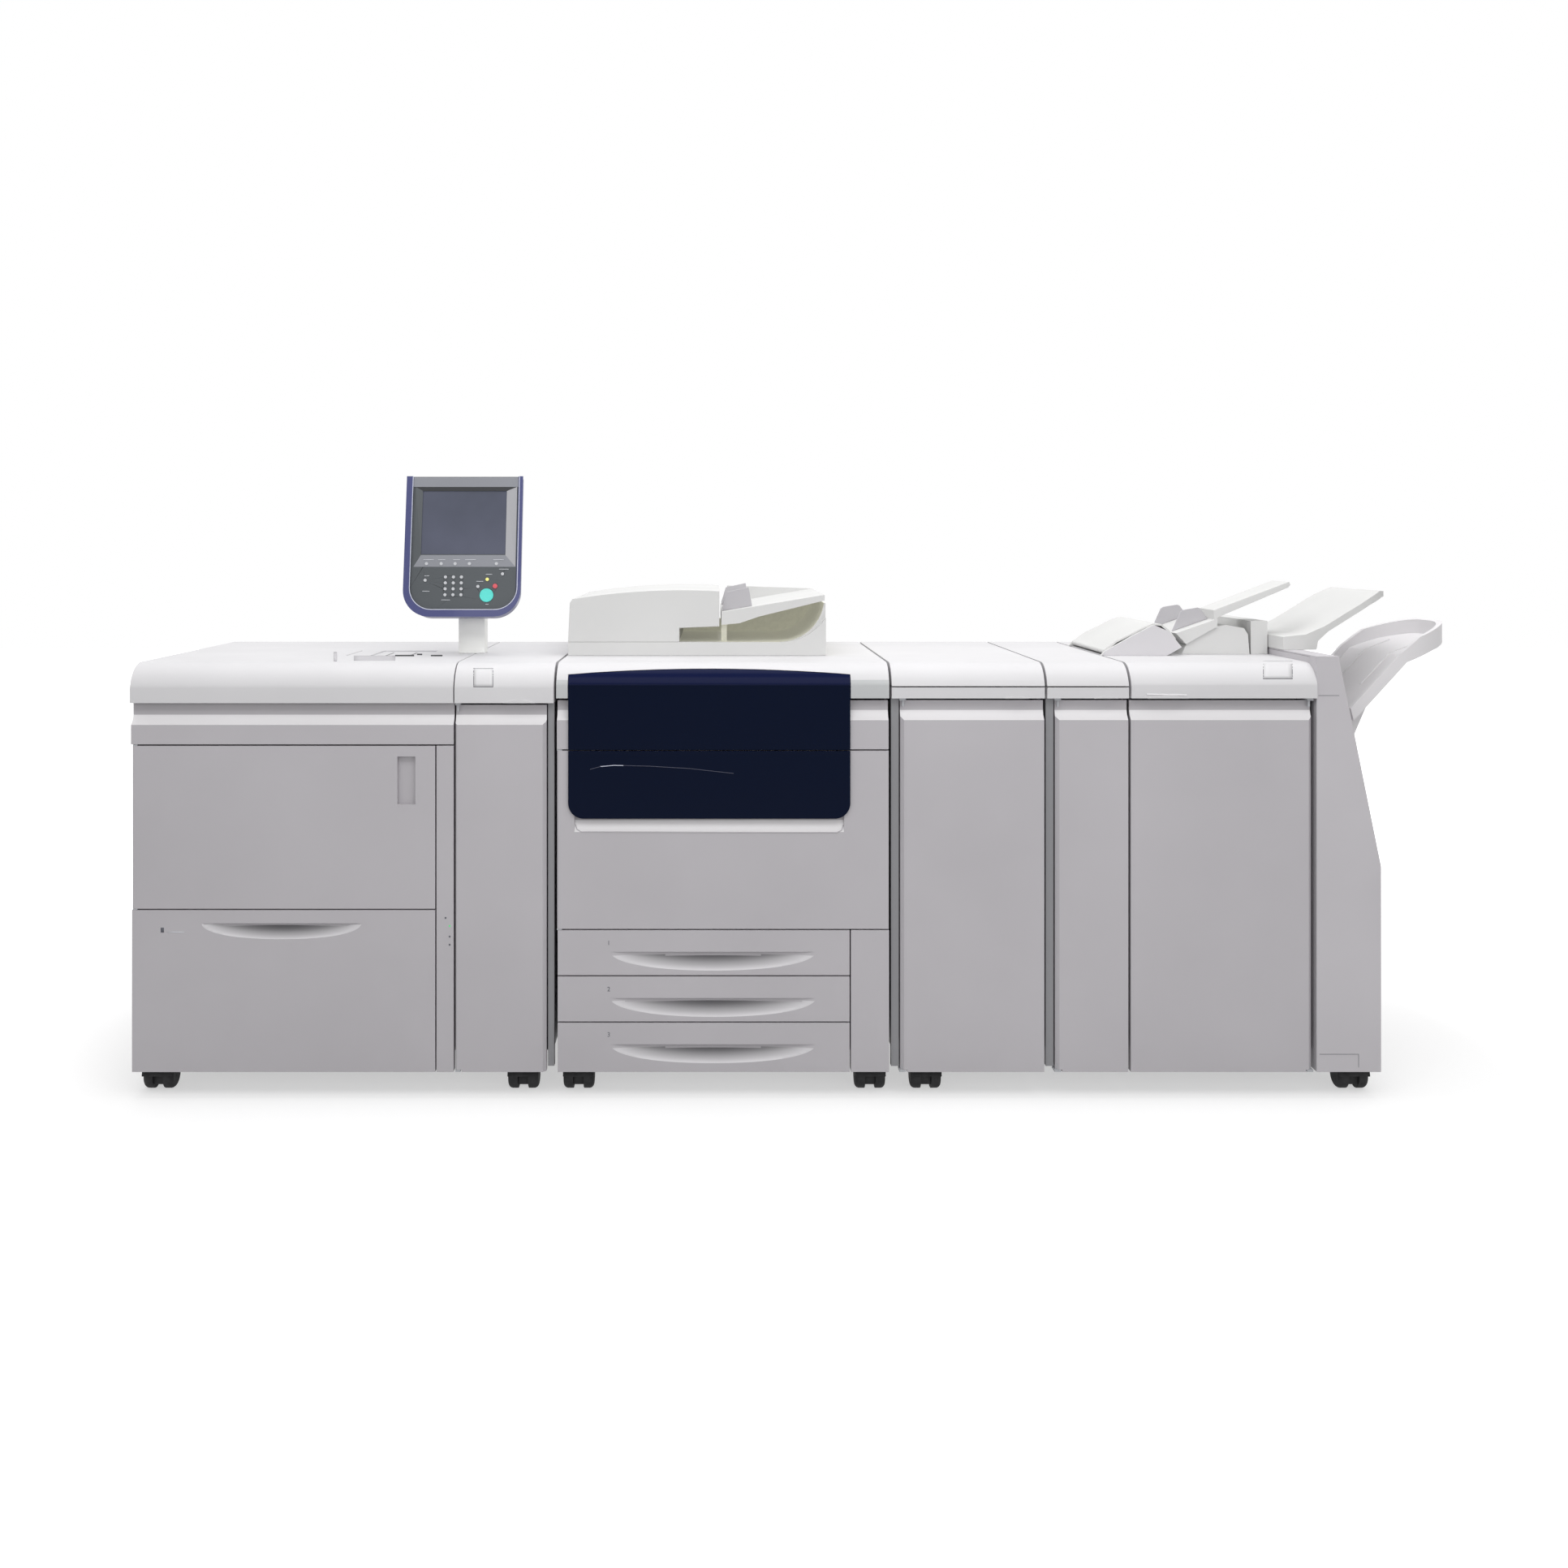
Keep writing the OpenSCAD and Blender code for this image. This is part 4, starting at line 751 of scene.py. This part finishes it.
def add_end_cover_joints():
    add_seam("end_cover_joint", "machine", "finisher_end_cover", END_SEAM)
    add_seam("end_cover_flap_joint", "machine", "finisher_end_cover", END_FLAP)


def add_bypass():
    cover = "feeder_top_cover"
    # Painted shade: dark beads that stand in for the shade inside the slots
    for i, path in enumerate(SLOTS):
        add_seam(f"bypass_slot_{i + 1}", "machine", cover, path, "painted_shadow_black", SLOT_RADIUS)
    add_patch("bypass_lever", "machine", cover, BYPASS_LEVER, "tray_grey", LEVER_THICKNESS, LEVER_STEPS)
    add_patch("bypass_recess", "machine", cover, BYPASS_RECESS, "tray_grey", RECESS_THICKNESS)


def add_fine_lines():
    add_seam("panel_ridge", "front_door", "front_door_panel", RIDGE, "ridge_navy", RIDGE_RADIUS)
    # Painted glint on the front door's panel
    add_seam("panel_glint", "front_door", "front_door_panel", GLINT, "silver_trim_and_glint", GLINT_RADIUS)
    # Painted highlight along the finisher's latch
    add_seam("latch_glint", "machine", "finisher_top_cover", LATCH_GLINT, "lip_highlight", LATCH_RADIUS)
    add_seam("pocket_lip", "front_door", "front_door", POCKET_LIP, "cover_grey", LIP_RADIUS)


# The operator panel: points across it, up along its face and into it, in millimetres

UI_LEAN = math.radians(10)
UI_DEPTH = 42 * MM
UI_TOP = 358

# The frame round the screen and the strip above it, at their own depths
FRAME_BOTTOM = 126
FRAME_TOP = 331
SCREEN_FRAME = (
    (-124, FRAME_BOTTOM, 3.4), (133, FRAME_BOTTOM, 3.4),
    (133, FRAME_TOP, 1.2), (-124, FRAME_TOP, 1.2),
)
SCREEN_HOLE = ((-106, 156, 3.6), (107, 156, 3.6), (107, 321, 3.6), (-106, 321, 3.6))
HEAD_STRIP = ((-133, FRAME_TOP, 1.2), (136, FRAME_TOP, 1.2), (136, 356, 1.2), (-133, 356, 1.2))
FRAME_THICKNESS = 1 * MM

# Painted light and shade: lit and shaded tones for the frame's right, upper and left sides; the lower side
# has the piece's own, a lit one
FRAME_SIDES = ("bezel_brightly_lit", "painted_shadow_black", "bezel_dark")

# The blue rim's edges: left, right, bottom and corner radius, and the silver trim along its inner edge
RIM_OUTER = (-147, 148, -1, 68)
RIM_INNER = (-131, 139, 17, 56)
RIM_INTO = -0.8
RIM_STEPS = 13
RIM_THICKNESS = 3 * MM
TRIM_INTO = -2.4
TRIM_RADIUS = 1.1 * MM

# The yellow key's cap: its place on the panel, its radius and height
YELLOW_KEY = (63, 94, 2.2)
KEY_CAP_RADIUS = 4.4 * MM
KEY_CAP_HEIGHT = 0.6 * MM

# Bars in place of the labels: left, right and height up the face
LABEL_BARS = (
    (-99, -73, 144), (-62, -44, 144), (-24, -7, 144), (6, 33, 144), (77, 103, 144), (92, 116, 120),
    (-95, -83, 103), (-99, -81, 64), (59, 75, 107), (36, 53, 89), (-51, -29, 42), (60, 68, 31),
)
BAR_INTO = 3.4
FRAME_BAR_INTO = 3.2
BAR_RADIUS = 0.7 * MM


def on_panel(across, up, into):
    """A point of the leaning panel, in the machine's frame."""
    low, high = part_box("ui_housing")
    x = (low.x + high.x) / 2 + across * MM
    start_z = low.z + UI_DEPTH * math.sin(UI_LEAN)
    y = low.y + into * MM * math.cos(UI_LEAN) + up * MM * math.sin(UI_LEAN)
    return Vector((x, y, start_z + up * MM * math.cos(UI_LEAN) - into * MM * math.sin(UI_LEAN)))


def add_screen_frame():
    corners = [on_panel(*point) for point in SCREEN_FRAME + SCREEN_HOLE]
    mesh = bpy.data.meshes.new("screen_frame")
    mesh.from_pydata(corners, [], [(k, (k + 1) % 4, (k + 1) % 4 + 4, k + 4) for k in range(4)])
    thicken(add_piece("screen_frame", "panel", "bezel_lit", mesh), FRAME_THICKNESS)
    # Painted light and shade: each side of the sloped frame takes its own lit or shaded tone
    for side, material in enumerate(FRAME_SIDES, start=1):
        mesh.materials.append(MATERIALS[material])
        mesh.polygons[side].material_index = side
    # The strip above the frame takes the frame's lit tone
    head = bpy.data.meshes.new("screen_head")
    head.from_pydata([on_panel(*point) for point in HEAD_STRIP], [], [(0, 1, 2, 3)])
    thicken(add_piece("screen_head", "panel", "bezel_lit", head), FRAME_THICKNESS)


def rim_path(left, right, bottom, radius):
    """Down the left side, round the lower corners and up the right side."""
    turns = [math.radians(90 * k / (RIM_STEPS - 1)) for k in range(RIM_STEPS)]
    bow = [(radius - radius * math.cos(a), bottom + radius - radius * math.sin(a)) for a in turns]
    down = [(left + inward, up) for inward, up in bow]
    back = [(right - inward, up) for inward, up in reversed(bow)]
    return [(left, UI_TOP), *down, *back, (right, UI_TOP)]


def add_rim():
    outer, inner = rim_path(*RIM_OUTER), rim_path(*RIM_INNER)
    count = len(outer)
    quads = [(k, k + 1, count + k + 1, count + k) for k in range(count - 1)]
    mesh = bpy.data.meshes.new("panel_rim")
    mesh.from_pydata([on_panel(across, up, RIM_INTO) for across, up in outer + inner], [], quads)
    thicken(add_piece("panel_rim", "panel", "panel_blue", mesh), RIM_THICKNESS, 0)
    trim = [on_panel(across, up, TRIM_INTO) for across, up in inner]
    add_line("panel_trim", "panel", "silver_trim_and_glint", trim, TRIM_RADIUS)


def add_key_cap():
    face = (on_panel(0, 0, -1) - on_panel(0, 0, 0)).normalized()
    place = on_panel(*YELLOW_KEY)
    add_disc("copy_key_cap", "function_keys", "lamp_yellow", place, face, KEY_CAP_RADIUS, KEY_CAP_HEIGHT)


def add_label_bars():
    for i, (left, right, up) in enumerate(LABEL_BARS):
        into = BAR_INTO if up < FRAME_BOTTOM else FRAME_BAR_INTO
        ends = [on_panel(left, up, into), on_panel(right, up, into)]
        add_line(f"panel_mark_{i + 1}", "panel", "mark_light", ends, BAR_RADIUS)


add_camera()
add_world()
add_floor()
for lamp in LAMPS:
    add_area_light(*lamp)
MATERIALS = make_materials()
dress_nodes()
add_drawer_marks()
add_column_lamps()
add_plates()
add_end_cover_joints()
add_bypass()
add_fine_lines()
add_screen_frame()
add_rim()
add_key_cap()
add_label_bars()
bpy.context.scene.view_settings.view_transform = "Standard"
